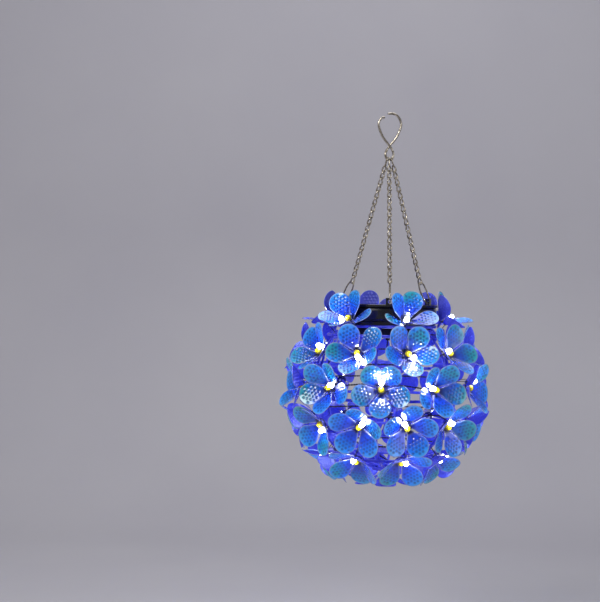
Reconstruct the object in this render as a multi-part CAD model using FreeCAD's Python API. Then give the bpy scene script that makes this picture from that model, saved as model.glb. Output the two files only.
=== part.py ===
import FreeCAD, Part
import math
import os

V = FreeCAD.Vector

# A hanging solar lantern: a ball of sheet-metal flowers on a wire frame, a round
# solar unit sunk in its top, three chains and a figure-8 hook.
# Millimetres, +Z up. The origin is the seat of the hook: the inside of its top.
# Pieces are made round the ball's centre and dropped by BALL_DROP at the end.
# Azimuth 0 is the front (-Y) and grows towards +X.

# ---- driving dimensions -------------------------------------------------
BALL_DROP = 264.0        # hook seat down to the ball's centre

FRAME_R = 76.5           # ball centre to the middle of a ring's wire
RING_WIRE = 2.8
RIB_WIRE = 2.4
RIB_COUNT = 6
RIB_TURN = 49.0          # azimuth of the first rib
RING_BELOW = 8.0         # degrees from a flower row down to its ring
WELD = 0.05              # how deep a rib's wire sinks into a ring's wire
COLLAR_R = 46.3
RIB_PAST = 1.25          # degrees a rib runs on above the collar ring
RIB_BOTTOM_LAT = -83.5

STEM_OUT = 4.5           # middle of a ring's wire out to the back of a flower's hub
TOP_STEM_OUT = 8.0       # the top row stands further out, clear of the lid
HUB_D = 10.4
HUB_T = 0.8
HUB_HOLE = 2.4
PETALS = 5
PETAL_L = 31.0           # flower centre to petal tip, along the petal
PETAL_W = 20.6
PETAL_T = 0.5
ROOT_AT = 3.5            # flower centre to the petal's root
ROOT_W = 3.0
PETAL_GAP = 0.9          # least gap between the petals of two flowers
TILT_LEAST = 22
TILT_MOST = 66
TILT_STEP = 3

STEM_D = 2.4
BEAD_D = 6.0
SHANK_D = 1.6
SHANK_L = 3.4
SHANK_FIT = 0.05         # radial play of the shank in the stem
LED_D = 4.6
LED_L = 5.4
LED_OFFSET = 6.5         # flower centre to LED centre
LED_CLEAR = 0.5
LEAD_D = 0.8
LEAD_FIT = 0.1           # play of an LED's leads where they pass a flower
STRING_D = 1.2
STRING_INSIDE = 5.1      # lamp string inside the rings' wire
STRING_GAP = 3.0         # between the two ends of a row's wire
LEAD_INSET = 1.5         # the row-to-row wire runs this far inside the row's wire

LID_R = 49.0
LID_H = 19.1
LID_LIFT = 0.3           # lid above the collar ring
LID_RIM_H = 2.4
LID_BODY_R = 48.0
LID_NECK_R = 46.6
LID_FOOT_R = 46.9
LID_FOOT_H = 2.6
LID_FLARE_H = 3.0        # foot's top up to the straight body
LID_NECK_H = 3.2
FOOT_STEP = 0.7
RIM_CHAMFER = 0.5
CAVITY_R = 43.0
LID_PLATE = 3.1          # plate between the cavity and the cell's recess
CELL_R = 41.0
CELL_T = 2.5
CELL_FIT = 0.3
CELL_SUNK = 0.1          # the cell's face lies this far under the lid's rim
BOX_R = 32.0
BOX_SPARE = 17.5         # depth from the lid's top to the box's underside, less the battery
BOX_WALL = 1.6
FLANGE_T = 2.0
FLANGE_FIT = 0.5
TAB_T = 1.8
TAB_W = 8.0
TAB_DROP = 4.5
BOSS_D = 6.0
BOSS_AT = 37.5
SCREW_D = 2.1
SCREW_FIT = 0.05
SCREW_PASS = 0.2         # radial play where a screw only passes through
SCREW_HEAD_D = 4.4
SCREW_HEAD_H = 1.5
SCREW_L = 7.0
BOARD_X = 52.0
BOARD_Y = 24.0
BOARD_T = 1.6
BOARD_ABOVE = 2.0        # board above the battery
BOARD_SCREW_AT = 21.0
BOARD_BOSS_D = 5.2
CHIP = (7.0, 5.0, 1.2)
COIL_R = 3.0
COIL_H = 2.2
COIL_AT = (12.0, 5.0)    # left of the board's middle, and behind it
CELL_LENGTH = 50.0       # AA cell
CELL_D = 14.2
CELL_BUTTON_D = 5.2
CELL_BUTTON_H = 1.2
BATTERY_LIFT = 0.4
DOOR_L = 51.0
DOOR_OVER = 1.8          # the door is this much wider than the battery
DOOR_PLAY = 0.4
GRIP_L = 8.0             # finger ridge on the door
GRIP_W = 2.0
GRIP_H = 0.8
GRIP_AT = 3.0            # from the door's free end
HINGE_PIN_D = 0.9
HINGE_PIN_L = 2.4
HINGE_FIT = 0.05
SWITCH_OUT = 9.0         # door's long edge to the switch
SWITCH_TRAVEL = 3.0
KNOB_L = 4.4
KNOB_W = 2.4
KNOB_DROP = 1.3
SLIDER_L = 11.0
SLIDER_W = 5.0
SLIDER_T = 1.0
SLIDE_PLAY = 0.3
LEAD_EXIT_Y = -22.0
GLAND_R = 2.0
GLAND_H = 2.2
GLAND_FIT = 0.1
LEAD_FALL = 18.0         # how far the lead hangs under the box before it turns up
LEAD_SHARE = 0.45        # how far along to its end the lead is lowest
EAR_W = 8.0
EAR_H = 6.2
EAR_T = 2.0
EAR_HOLE_D = 4.2
EAR_WALL = 1.4           # metal over an ear's hole

HANGER_WIRE = 1.5
HANGER_W = 6.8           # width of the loop, middle of wire to middle of wire
HANGER_TOP_R = 38.0
HANGER_RISE = 21.3       # top of a hanger over the lid's top
HOOK_WIRE = 2.2
EYE_HALF = 3.9           # half width of the hook's eye, to the middle of the wire
EYE_DROP = 43.3          # hook seat down to the eye's lowest wire
EYE_SPREAD = 2.3         # the outer end links hang this far off the eye's middle
EYE_RISE = 0.45          # and the eye's wire is this much higher there
CROSS_DROP = 30.0        # hook seat down to where the wire crosses itself
LOOP_DROP = 14.0         # hook seat down to the loop's widest part
CROSS_STEP = 1.2         # each strand stands this far off the middle at the crossing
LOOP_HALF = 10.6
SHOULDER_DROP = 6.2      # loop's top down to its upper corners
SEAT_HALF = 5.2          # the seat's wire starts to bend down here
TIP_PAST = 2.2           # the wire's end past the middle of the seat
MOUTH_END = 4.6          # the other end stops this far off the middle
MOUTH_DROP = 3.4         # and this far under the seat's wire

LINK_WIRE = 1.2
LINK_W = 5.0             # outside width of a link
LINK_PITCH = 6.5         # stretched a little, so that whole links fill the chain
END_LINK_W = 6.4
END_LINK_PITCH = 9.0     # middle of the upper bend to middle of the lower bend
END_PLAY = 1.1           # slack between an end link and the chain's first link
LINK_PLAY = 0.25
HANG_PLAY = 0.3
ARC_SHARE = 0.45         # how much of the shorter run a bend takes

# ---- derived sizes --------------------------------------------------------
RIB_R = FRAME_R - RING_WIRE / 2 - RIB_WIRE / 2 + WELD
COLLAR_Z = math.sqrt(FRAME_R ** 2 - COLLAR_R ** 2)
RIB_TOP_LAT = math.degrees(math.asin(COLLAR_Z / FRAME_R)) + RIB_PAST
FLOWER_R = FRAME_R + STEM_OUT
TOP_FLOWER_R = FRAME_R + TOP_STEM_OUT
STRING_R = FRAME_R - STRING_INSIDE
LID_BOTTOM = COLLAR_Z + RING_WIRE / 2 + LID_LIFT
LID_TOP = LID_BOTTOM + LID_H
BOX_BOTTOM = LID_TOP - BOX_SPARE - CELL_D
CELL_FLOOR = LID_TOP - CELL_T - CELL_SUNK
CAVITY_TOP = CELL_FLOOR - LID_PLATE
FLANGE_R = CAVITY_R - FLANGE_FIT
FLOOR_TOP = BOX_BOTTOM + BOX_WALL
BATTERY_Z = FLOOR_TOP + BATTERY_LIFT + CELL_D / 2
BOARD_Z = BATTERY_Z + CELL_D / 2 + BOARD_ABOVE
EAR_R = LID_R - EAR_T - 0.1
EAR_HOLE_Z = LID_TOP + EAR_H - EAR_HOLE_D / 2 - EAR_WALL
DOOR_W = CELL_D + DOOR_OVER
SWITCH_AT = DOOR_W / 2 + SWITCH_OUT
HANGER_TOP = LID_TOP + HANGER_RISE
EYE_BOTTOM = BALL_DROP - EYE_DROP
CROSSING = BALL_DROP - CROSS_DROP
LOOP_WIDEST = BALL_DROP - LOOP_DROP
LOOP_TOP = BALL_DROP + HOOK_WIRE / 2

# Flower rows: name, latitude, how many, azimuth of the first
ROWS = (
    ("top", 51.0, 6, -43.7),
    ("upper", 26.0, 10, -59.9),
    ("middle", 3.0, 10, -78.0),
    ("lower", -21.5, 11, -53.7),
    ("bottom", -50.0, 8, -32.0),
    ("pole", -90.0, 1, 0.0),
)
# The turn of each front flower, and the side of the pistil its LED stands on,
# both clockwise from the flower's upper side
FRONT_TURNS = {
    "flower_top_1": (20, -160), "flower_top_2": (25, 205),
    "flower_upper_1": (20, 90), "flower_upper_2": (43, 151),
    "flower_upper_3": (35, 140), "flower_upper_4": (28, -63),
    "flower_middle_2": (31, 60), "flower_middle_3": (37, 0),
    "flower_middle_4": (30, -60),
    "flower_lower_1": (20, 100), "flower_lower_2": (8, 50),
    "flower_lower_3": (2, -30), "flower_lower_4": (17, -26),
    "flower_bottom_1": (43, 0), "flower_bottom_2": (60, 20),
    "flower_pole": (0, 108),
}
TURN_STEP = 29           # how much each unseen flower is turned from the last
TOP_LED_SIDE = 150       # the top row's LEDs stand away from the lid
MIN_FOOT_SIDE = 20       # an LED keeps this many degrees off the stem's side


# ---- helpers ----------------------------------------------------------------
def out_dir(lat, az):
    """Unit vector from the ball's centre at a latitude and azimuth."""
    a = math.radians(az)
    b = math.radians(lat)
    return V(math.sin(a) * math.cos(b), -math.cos(a) * math.cos(b), math.sin(b))


def east_dir(az):
    a = math.radians(az)
    return V(math.cos(a), math.sin(a), 0)


def north_dir(lat, az):
    return out_dir(lat, az).cross(east_dir(az))


def at_frame(x_axis, y_axis, z_axis, origin):
    """Placement whose local axes are the given ones."""
    return FreeCAD.Placement(FreeCAD.Matrix(
        x_axis.x, y_axis.x, z_axis.x, origin.x,
        x_axis.y, y_axis.y, z_axis.y, origin.y,
        x_axis.z, y_axis.z, z_axis.z, origin.z,
        0, 0, 0, 1))


def placed(shape, placement):
    copy = shape.copy()
    copy.Placement = placement.multiply(copy.Placement)
    return copy


def cylinder(diameter, start, end):
    run = end - start
    return Part.makeCylinder(diameter / 2, run.Length, start, run)


def disc(radius, low, high, centre=V(0, 0, 0)):
    return Part.makeCylinder(radius, high - low, V(centre.x, centre.y, low))


def block(x_low, x_high, y_low, y_high, z_low, z_high):
    return Part.makeBox(x_high - x_low, y_high - y_low, z_high - z_low,
                        V(x_low, y_low, z_low))


def tube(points, diameter):
    """Round wire along straight runs joined by tangent arcs."""
    edges = []
    here = points[0]
    for before, corner, after in zip(points, points[1:], points[2:]):
        a = (corner - before).normalize()
        b = (after - corner).normalize()
        turn = a.getAngle(b)
        if turn < 0.02:
            continue
        reach = ARC_SHARE * min((corner - before).Length, (after - corner).Length)
        radius = reach / math.tan(turn / 2)
        inward = (b - a).normalize()
        arc_start = corner - a * reach
        arc_end = corner + b * reach
        arc_mid = corner + inward * (radius / math.cos(turn / 2) - radius)
        edges.append(Part.LineSegment(here, arc_start).toShape())
        edges.append(Part.Arc(arc_start, arc_mid, arc_end).toShape())
        here = arc_end
    edges.append(Part.LineSegment(here, points[-1]).toShape())
    path = Part.Wire(edges)
    first = (points[1] - points[0]).normalize()
    ring = Part.Wire(Part.Circle(points[0], first, diameter / 2).toShape())
    return path.makePipeShell([ring], True, False)


def racetrack(wire, half_width, half_length):
    """Closed link in the XZ plane; sizes go to the middle of the wire."""
    def section(x, z):
        circle = Part.makeCircle(wire / 2, V(x, 0, z), V(0, 0, 1))
        return Part.Face(Part.Wire(circle))
    upper = section(half_width, half_length).revolve(V(0, 0, half_length), V(0, -1, 0), 180)
    lower = section(half_width, -half_length).revolve(V(0, 0, -half_length), V(0, 1, 0), 180)
    sides = []
    for x in (-half_width, half_width):
        sides.append(section(x, -half_length).extrude(V(0, 0, 2 * half_length)))
    return upper.multiFuse([lower] + sides).removeSplitter()


# ---- flowers -------------------------------------------------------------------
class Flower:
    """Where one flower stands, how it is turned, and its petals' tilts."""

    def __init__(self, name, row, lat, az, order):
        self.name = name
        self.row = row
        self.lat = lat
        self.az = az
        self.radius = TOP_FLOWER_R if row == "top" else FLOWER_R
        self.out = out_dir(lat, az)
        self.east = east_dir(az)
        self.north = north_dir(lat, az)
        default_side = TOP_LED_SIDE if row == "top" else 0
        turn, led = FRONT_TURNS.get(name, (order * TURN_STEP % 72, default_side))
        self.turn = turn
        step = 360 / PETALS
        first_gap = turn + step / 2
        gap = first_gap + step * round((led - first_gap) / step)
        if abs((gap % 360) - 180) < MIN_FOOT_SIDE:
            gap += step
        self.led_turn = gap
        self.tilts = []

    def spot(self, turn, reach, height):
        """Point at a distance from the flower's axis and a height over its hub's back."""
        a = math.radians(turn)
        side = self.north * math.cos(a) + self.east * math.sin(a)
        return self.out * (self.radius + height) + side * reach

    def frame(self):
        return at_frame(self.east, self.north, self.out, self.out * self.radius)


def all_flowers():
    flowers = []
    order = 0
    for row, lat, count, first in ROWS:
        for i in range(count):
            order += 1
            name = "flower_pole" if row == "pole" else "flower_%s_%d" % (row, i + 1)
            flowers.append(Flower(name, row, lat, first + 360 / count * i, order))
    return flowers


def petal_edge_points():
    """Points round the petal's rim: distance along it and to the side."""
    r = PETAL_W / 2
    centre = PETAL_L - r
    points = []
    for a in (-110, -80, -50, -25, 0, 25, 50, 80, 110):
        b = math.radians(a)
        points.append((centre + r * math.cos(b), r * math.sin(b)))
    return points


def petal_fits(flower, turn, tilt, neighbours):
    """True when a petal at this tilt keeps to its flower's share of the ball."""
    t = math.radians(tilt)
    a = math.radians(turn)
    ahead = flower.north * math.cos(a) + flower.east * math.sin(a)
    side = flower.east * math.cos(a) - flower.north * math.sin(a)
    root = flower.out * (flower.radius + HUB_T / 2) + ahead * ROOT_AT
    for along, across in petal_edge_points():
        reach = along - ROOT_AT
        p = root + ahead * (reach * math.cos(t)) + side * across
        p = p + flower.out * (reach * math.sin(t))
        for other in neighbours:
            wall = (flower.out - other.out).normalize()
            if p.dot(wall) < PETAL_GAP / 2:
                return False
        # the ball pulls down off the solar unit, so nothing may hang over the lid
        over_lid = p.z > LID_BOTTOM - PETAL_GAP
        if over_lid and math.hypot(p.x, p.y) < LID_R + PETAL_GAP:
            return False
    return True


def set_tilts(flowers):
    for flower in flowers:
        neighbours = []
        for other in flowers:
            if other is not flower and flower.out.dot(other.out) > math.cos(math.radians(75)):
                neighbours.append(other)
        for k in range(PETALS):
            turn = flower.turn + k * 360 / PETALS
            tilt = TILT_LEAST
            while tilt < TILT_MOST and not petal_fits(flower, turn, tilt, neighbours):
                tilt += TILT_STEP
            flower.tilts.append(tilt)


def flat_petal():
    """One petal along +Y from the flower's centre line, lying on the XY plane."""
    r = PETAL_W / 2
    centre = PETAL_L - r
    root = ROOT_W / 2
    run = math.hypot(centre - ROOT_AT, root)
    lean = math.atan2(root, centre - ROOT_AT)
    touch = math.acos(r / run) - lean
    tx = r * math.sin(touch)
    ty = centre - r * math.cos(touch)
    edges = [
        Part.LineSegment(V(-root, ROOT_AT, 0), V(root, ROOT_AT, 0)).toShape(),
        Part.LineSegment(V(root, ROOT_AT, 0), V(tx, ty, 0)).toShape(),
        Part.Arc(V(tx, ty, 0), V(0, PETAL_L, 0), V(-tx, ty, 0)).toShape(),
        Part.LineSegment(V(-tx, ty, 0), V(-root, ROOT_AT, 0)).toShape(),
    ]
    return Part.Face(Part.Wire(edges)).extrude(V(0, 0, PETAL_T))


def flower_solid(flower, petal):
    hub = Part.makeCylinder(HUB_D / 2, HUB_T)
    # the disc's seam is turned into a gap, where no petal edge can fall on it
    hub.rotate(V(0, 0, 0), V(0, 0, 1), 90 - flower.turn - 180 / PETALS)
    parts = []
    for k, tilt in enumerate(flower.tilts):
        one = petal.copy()
        one.translate(V(0, 0, (HUB_T - PETAL_T) / 2))
        one.rotate(V(0, ROOT_AT, HUB_T / 2), V(1, 0, 0), tilt)
        one.rotate(V(0, 0, 0), V(0, 0, 1), -(flower.turn + k * 360 / PETALS))
        parts.append(one)
    body = hub.multiFuse(parts)
    body = body.cut(Part.makeCylinder(HUB_HOLE / 2, 4 * HUB_T, V(0, 0, -HUB_T)))
    # petals that meet beside the hub are notched where the LED's leads pass
    a = math.radians(flower.led_turn)
    at = V(LED_OFFSET * math.sin(a), LED_OFFSET * math.cos(a), -HUB_T)
    notch = Part.makeCylinder(LEAD_D / 2 + LEAD_FIT, led_base_height(flower) + HUB_T, at)
    if body.common(notch).Volume > 0:
        body = body.cut(notch)
    return placed(body, flower.frame())


def pistil(flower):
    bead = Part.makeSphere(BEAD_D / 2, V(0, 0, HUB_T + BEAD_D / 2))
    shank = Part.makeCylinder(SHANK_D / 2, SHANK_L + HUB_T + 1, V(0, 0, -SHANK_L))
    return placed(bead.fuse(shank), flower.frame())


def stem(flower):
    """Bent wire from the row's ring to the back of the hub, drilled for the pistil."""
    ring_lat = flower.lat - RING_BELOW if flower.row != "pole" else flower.lat + RING_BELOW
    towards = 1 if flower.row != "pole" else -1
    foot = out_dir(ring_lat, flower.az) * FRAME_R
    along = north_dir(ring_lat, flower.az) * towards
    start = foot + along * (RING_WIRE / 2)
    corner = flower.out * FRAME_R
    end = flower.out * flower.radius
    wire = tube([start, corner, end], STEM_D)
    drill = cylinder(SHANK_D + 2 * SHANK_FIT, flower.out * (flower.radius - SHANK_L - 0.3), end)
    return wire.cut(drill)


def led_base_height(flower):
    """Height over the hub's back at which an LED clears the two petals beside it."""
    step = 360 / PETALS
    steepest = 0
    for k, tilt in enumerate(flower.tilts):
        away = (flower.turn + k * step - flower.led_turn + 180) % 360 - 180
        if abs(away) < step:
            steepest = max(steepest, tilt)
    rise = (LED_OFFSET + LED_D / 2 - ROOT_AT) * math.tan(math.radians(steepest))
    return HUB_T + PETAL_T + rise * 0.8 + LED_CLEAR


def led_lamp(flower):
    base = flower.spot(flower.led_turn, LED_OFFSET, led_base_height(flower))
    top = base + flower.out * (LED_L - LED_D / 2)
    return cylinder(LED_D, base, top).fuse(Part.makeSphere(LED_D / 2, top))


def led_foot(flower, inset=0.0):
    """Where an LED's leads meet the string wire inside the ball."""
    return flower.spot(flower.led_turn, LED_OFFSET, STRING_R - inset - flower.radius)


def led_leads(flower):
    base = flower.spot(flower.led_turn, LED_OFFSET, led_base_height(flower))
    return cylinder(LEAD_D, led_foot(flower) + flower.out * (STRING_D / 2), base)


# ---- wire frame ------------------------------------------------------------------
def ring_at(lat):
    b = math.radians(lat)
    return Part.makeTorus(FRAME_R * math.cos(b), RING_WIRE / 2, V(0, 0, FRAME_R * math.sin(b)))


def frame_rings():
    rings = []
    for row, lat, count, first in ROWS:
        rings.append(ring_at(lat + RING_BELOW if row == "pole" else lat - RING_BELOW))
    return rings


def rib(az):
    start = out_dir(RIB_BOTTOM_LAT, az) * RIB_R
    circle = Part.makeCircle(RIB_WIRE / 2, start, north_dir(RIB_BOTTOM_LAT, az))
    face = Part.Face(Part.Wire(circle))
    return face.revolve(V(0, 0, 0), east_dir(az) * -1, RIB_TOP_LAT - RIB_BOTTOM_LAT)


def string_pieces(flowers):
    pieces = [led_leads(flower) for flower in flowers]
    rows = {}
    for flower in flowers:
        rows.setdefault(flower.row, []).append(flower)
    for row, members in rows.items():
        if len(members) > 1:
            feet = [led_foot(flower) for flower in members]
            gap = (feet[0] - feet[-1]).normalize() * STRING_GAP
            pieces.append(tube(feet + [feet[0] - gap], STRING_D))
    names = [row[0] for row in ROWS]
    for above, below in zip(names, names[1:]):
        start = led_foot(rows[above][0], LEAD_INSET)
        near = min(rows[below], key=lambda f: (led_foot(f, LEAD_INSET) - start).Length)
        pieces.append(cylinder(STRING_D, start, led_foot(near, LEAD_INSET)))
    return pieces


def led_lead(flowers):
    """Supply lead from the battery box to the nearest LED of the upper row."""
    exit_point = V(0, LEAD_EXIT_Y, BOX_BOTTOM - GLAND_H)
    front = [f for f in flowers if f.row == "upper"]
    feet = [led_foot(f, 2 * LEAD_INSET) for f in front]
    end = min(feet, key=lambda p: (p - exit_point).Length)
    route = [exit_point, V(0, LEAD_EXIT_Y - 1, BOX_BOTTOM - LEAD_FALL / 2),
             V(end.x * LEAD_SHARE, (LEAD_EXIT_Y + end.y) / 2, BOX_BOTTOM - LEAD_FALL), end]
    return tube(route, STRING_D)


# ---- solar unit ---------------------------------------------------------------------
def around(count, first, radius):
    return [out_dir(0, first + i * 360 / count) * radius for i in range(count)]


def lid_profile():
    """Half section of the lid: radius and height, from the foot up."""
    rim_low = LID_TOP - LID_RIM_H
    foot_top = LID_BOTTOM + LID_FOOT_H
    points = [(0, LID_BOTTOM), (LID_FOOT_R, LID_BOTTOM), (LID_FOOT_R, foot_top),
              (LID_FOOT_R - FOOT_STEP, foot_top + FOOT_STEP / 2),
              (LID_BODY_R, foot_top + LID_FLARE_H), (LID_BODY_R, rim_low - LID_NECK_H),
              (LID_NECK_R, rim_low), (LID_R, rim_low), (LID_R, LID_TOP - RIM_CHAMFER),
              (LID_R - RIM_CHAMFER, LID_TOP), (0, LID_TOP)]
    corners = [V(r, 0, z) for r, z in points]
    return Part.Face(Part.makePolygon(corners + [corners[0]]))


def solar_housing():
    body = lid_profile().revolve(V(0, 0, 0), V(0, 0, 1), 360)
    body = body.cut(disc(CELL_R + CELL_FIT, CELL_FLOOR, LID_TOP + 1))
    body = body.cut(disc(CAVITY_R, LID_BOTTOM - 1, CAVITY_TOP))
    for p in around(3, 60, BOSS_AT):
        body = body.fuse(disc(BOSS_D / 2, LID_BOTTOM + FLANGE_T, CAVITY_TOP + 0.5, p))
        hole = SCREW_D / 2 + SCREW_FIT
        body = body.cut(disc(hole, LID_BOTTOM - 1, LID_BOTTOM + SCREW_L + 1, p))
    for x in (-BOARD_SCREW_AT, BOARD_SCREW_AT):
        p = V(x, 0, 0)
        body = body.fuse(disc(BOARD_BOSS_D / 2, BOARD_Z + BOARD_T, CAVITY_TOP + 0.5, p))
        hole = SCREW_D / 2 + SCREW_FIT
        body = body.cut(disc(hole, BOARD_Z, min(BOARD_Z + SCREW_L, CAVITY_TOP + 1.5), p))
    for az in (60, 180, 300):
        tab = block(-TAB_W / 2, TAB_W / 2, -CAVITY_R - TAB_T + 0.4, -CAVITY_R + 0.4,
                    LID_BOTTOM - TAB_DROP, LID_BOTTOM + 1)
        tab.rotate(V(0, 0, 0), V(0, 0, 1), az)
        body = body.fuse(tab)
    for az in (0, 120, 240):
        ear = block(-EAR_W / 2, EAR_W / 2, -EAR_R - EAR_T, -EAR_R, LID_TOP - 1, LID_TOP + EAR_H)
        hole = Part.makeCylinder(EAR_HOLE_D / 2, 3 * EAR_T,
                                 V(0, -EAR_R + EAR_T, EAR_HOLE_Z), V(0, -1, 0))
        ear = ear.cut(hole)
        ear.rotate(V(0, 0, 0), V(0, 0, 1), az)
        body = body.fuse(ear)
    return body.removeSplitter()


def solar_cell():
    return disc(CELL_R, CELL_FLOOR, CELL_FLOOR + CELL_T)


def door_hinge_x():
    return -DOOR_L / 2 + BOX_WALL / 2


def battery_box():
    body = disc(BOX_R, BOX_BOTTOM, LID_BOTTOM + FLANGE_T)
    body = body.fuse(disc(FLANGE_R, LID_BOTTOM, LID_BOTTOM + FLANGE_T))
    body = body.cut(disc(BOX_R - BOX_WALL, FLOOR_TOP, LID_BOTTOM + FLANGE_T + 1))
    for p in around(3, 60, BOSS_AT):
        body = body.cut(disc(SCREW_D / 2 + SCREW_PASS, LID_BOTTOM - 1, LID_BOTTOM + FLANGE_T + 1, p))
    half = DOOR_L / 2 + DOOR_PLAY
    body = body.cut(block(-half, half, -DOOR_W / 2 - DOOR_PLAY, DOOR_W / 2 + DOOR_PLAY,
                          BOX_BOTTOM - 1, FLOOR_TOP + 1))
    reach = DOOR_W / 2 + HINGE_PIN_L + 0.3
    middle = BOX_BOTTOM + BOX_WALL / 2
    body = body.cut(cylinder(HINGE_PIN_D + 2 * HINGE_FIT, V(door_hinge_x(), -reach, middle),
                             V(door_hinge_x(), reach, middle)))
    slot = KNOB_L / 2 + SWITCH_TRAVEL + SLIDE_PLAY
    body = body.cut(block(-KNOB_L / 2 - SLIDE_PLAY, slot,
                          SWITCH_AT - KNOB_W / 2 - SLIDE_PLAY, SWITCH_AT + KNOB_W / 2 + SLIDE_PLAY,
                          BOX_BOTTOM - 1, FLOOR_TOP + 1))
    gland = disc(GLAND_R, BOX_BOTTOM - GLAND_H, FLOOR_TOP, V(0, LEAD_EXIT_Y, 0))
    bore = disc(STRING_D / 2 + GLAND_FIT, BOX_BOTTOM - 2 * GLAND_H, FLOOR_TOP + 1,
                V(0, LEAD_EXIT_Y, 0))
    return body.fuse(gland).cut(bore).removeSplitter()


def battery_door():
    middle = BOX_BOTTOM + BOX_WALL / 2
    plate = block(door_hinge_x(), DOOR_L / 2, -DOOR_W / 2, DOOR_W / 2, BOX_BOTTOM, FLOOR_TOP)
    knuckle = cylinder(BOX_WALL, V(door_hinge_x(), -DOOR_W / 2, middle),
                       V(door_hinge_x(), DOOR_W / 2, middle))
    reach = DOOR_W / 2 + HINGE_PIN_L
    pin = cylinder(HINGE_PIN_D, V(door_hinge_x(), -reach, middle), V(door_hinge_x(), reach, middle))
    grip = block(DOOR_L / 2 - GRIP_AT - GRIP_W, DOOR_L / 2 - GRIP_AT, -GRIP_L / 2, GRIP_L / 2,
                 BOX_BOTTOM - GRIP_H, BOX_BOTTOM + GRIP_H / 4)
    return plate.multiFuse([knuckle, pin, grip])


def battery():
    x = CELL_LENGTH / 2 - CELL_BUTTON_H
    can = cylinder(CELL_D, V(-CELL_LENGTH / 2, 0, BATTERY_Z), V(x, 0, BATTERY_Z))
    button = cylinder(CELL_BUTTON_D, V(x, 0, BATTERY_Z), V(x + CELL_BUTTON_H, 0, BATTERY_Z))
    return can.fuse(button)


def circuit_board():
    board = block(-BOARD_X / 2, BOARD_X / 2, -BOARD_Y / 2, BOARD_Y / 2, BOARD_Z, BOARD_Z + BOARD_T)
    for x in (-BOARD_SCREW_AT, BOARD_SCREW_AT):
        board = board.cut(disc(SCREW_D / 2 + SCREW_PASS, BOARD_Z - 1, BOARD_Z + BOARD_T + 1, V(x, 0, 0)))
    length, width, height = CHIP
    top = BOARD_Z + BOARD_T
    chip = block(-length / 2, length / 2, -width / 2, width / 2, top, top + height)
    coil = disc(COIL_R, top, top + COIL_H, V(-COIL_AT[0], COIL_AT[1], 0))
    return board.multiFuse([chip, coil])


def power_switch():
    knob = block(-KNOB_L / 2, KNOB_L / 2, SWITCH_AT - KNOB_W / 2, SWITCH_AT + KNOB_W / 2,
                 BOX_BOTTOM - KNOB_DROP, FLOOR_TOP + SLIDE_PLAY + SLIDER_T)
    slider = block(-SLIDER_L / 2, SLIDER_L / 2, SWITCH_AT - SLIDER_W / 2, SWITCH_AT + SLIDER_W / 2,
                   FLOOR_TOP + SLIDE_PLAY, FLOOR_TOP + SLIDE_PLAY + SLIDER_T)
    return knob.fuse(slider)


def screw(face, centre):
    """Screw driven upwards, its head against the given height."""
    shank = disc(SCREW_D / 2, face - 0.1, face + SCREW_L, centre)
    return shank.fuse(disc(SCREW_HEAD_D / 2, face - SCREW_HEAD_H, face, centre))


def screws():
    group = [screw(LID_BOTTOM, p) for p in around(3, 60, BOSS_AT)]
    for x in (-BOARD_SCREW_AT, BOARD_SCREW_AT):
        group.append(screw(BOARD_Z, V(x, 0, 0)))
    return group


# ---- hangers, chains and hook ---------------------------------------------------------
def hanger_ends(az):
    """Middle of the wire at the foot and at the top of a hanger."""
    foot = out_dir(0, az) * (EAR_R + EAR_T / 2) + V(0, 0, EAR_HOLE_Z)
    top = out_dir(0, az) * HANGER_TOP_R + V(0, 0, HANGER_TOP)
    return foot, top


def hanger(az):
    foot, top = hanger_ends(az)
    up = (top - foot).normalize()
    side = east_dir(az)
    across = side.cross(up)
    half = (top - foot).Length / 2
    loop = racetrack(HANGER_WIRE, HANGER_W / 2, half - HANGER_W / 2)
    return placed(loop, at_frame(across * -1, side, up, (foot + top) * 0.5))


def link_in_place(wire, width, top, bottom, normal):
    """Link whose bends' wire middles are at top and bottom, in the plane across normal."""
    up = (top - bottom).normalize()
    face = (normal - up * normal.dot(up)).normalize()
    half_w = (width - wire) / 2
    loop = racetrack(wire, half_w, (top - bottom).Length / 2 - half_w)
    return placed(loop, at_frame(face.cross(up) * -1, face * -1, up, (top + bottom) * 0.5))


def end_link_ends(az):
    """Upper and lower bend of the end link that sits in the hook's eye."""
    side = {0: 0, 120: 1, 240: -1}[az]
    wire = V(side * EYE_SPREAD, 0, EYE_BOTTOM + abs(side) * EYE_RISE)
    foot, hang = hanger_ends(az)
    run = (hang - wire).normalize()
    top = wire - run * (HOOK_WIRE / 2 + LINK_WIRE / 2 + HANG_PLAY)
    return top, top + run * END_LINK_PITCH


def chain(az):
    end_top, end_bottom = end_link_ends(az)
    foot, hang = hanger_ends(az)
    run = (hang - end_bottom).normalize()
    start = end_bottom - run * (LINK_WIRE + END_PLAY)
    finish = hang + run * (HANGER_WIRE / 2 + LINK_WIRE / 2 + HANG_PLAY)
    length = (finish - start).Length - LINK_WIRE - LINK_PLAY
    count = round(length / LINK_PITCH)
    pitch = length / count
    run = (finish - start).normalize()
    first_normal = V(1, 0, 0)
    first_normal = (first_normal - run * first_normal.dot(run)).normalize()
    # the end link's plane holds Y, so the first link of the chain is turned a quarter
    side = run.cross(first_normal)
    last_normal = run.cross(east_dir(az)).normalize()
    start_turn = 90.0
    end_turn = math.degrees(math.atan2(last_normal.dot(side), last_normal.dot(first_normal)))
    left = (end_turn - start_turn - 90 * (count - 1) + 90) % 180 - 90
    step = 90 + left / (count - 1)
    links = []
    for k in range(count):
        top = start + run * (pitch * k)
        bottom = top + run * (pitch + LINK_WIRE + LINK_PLAY)
        a = math.radians(start_turn + step * k)
        normal = first_normal * math.cos(a) + side * math.sin(a)
        links.append(link_in_place(LINK_WIRE, LINK_W, top, bottom, normal))
    return links


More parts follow.
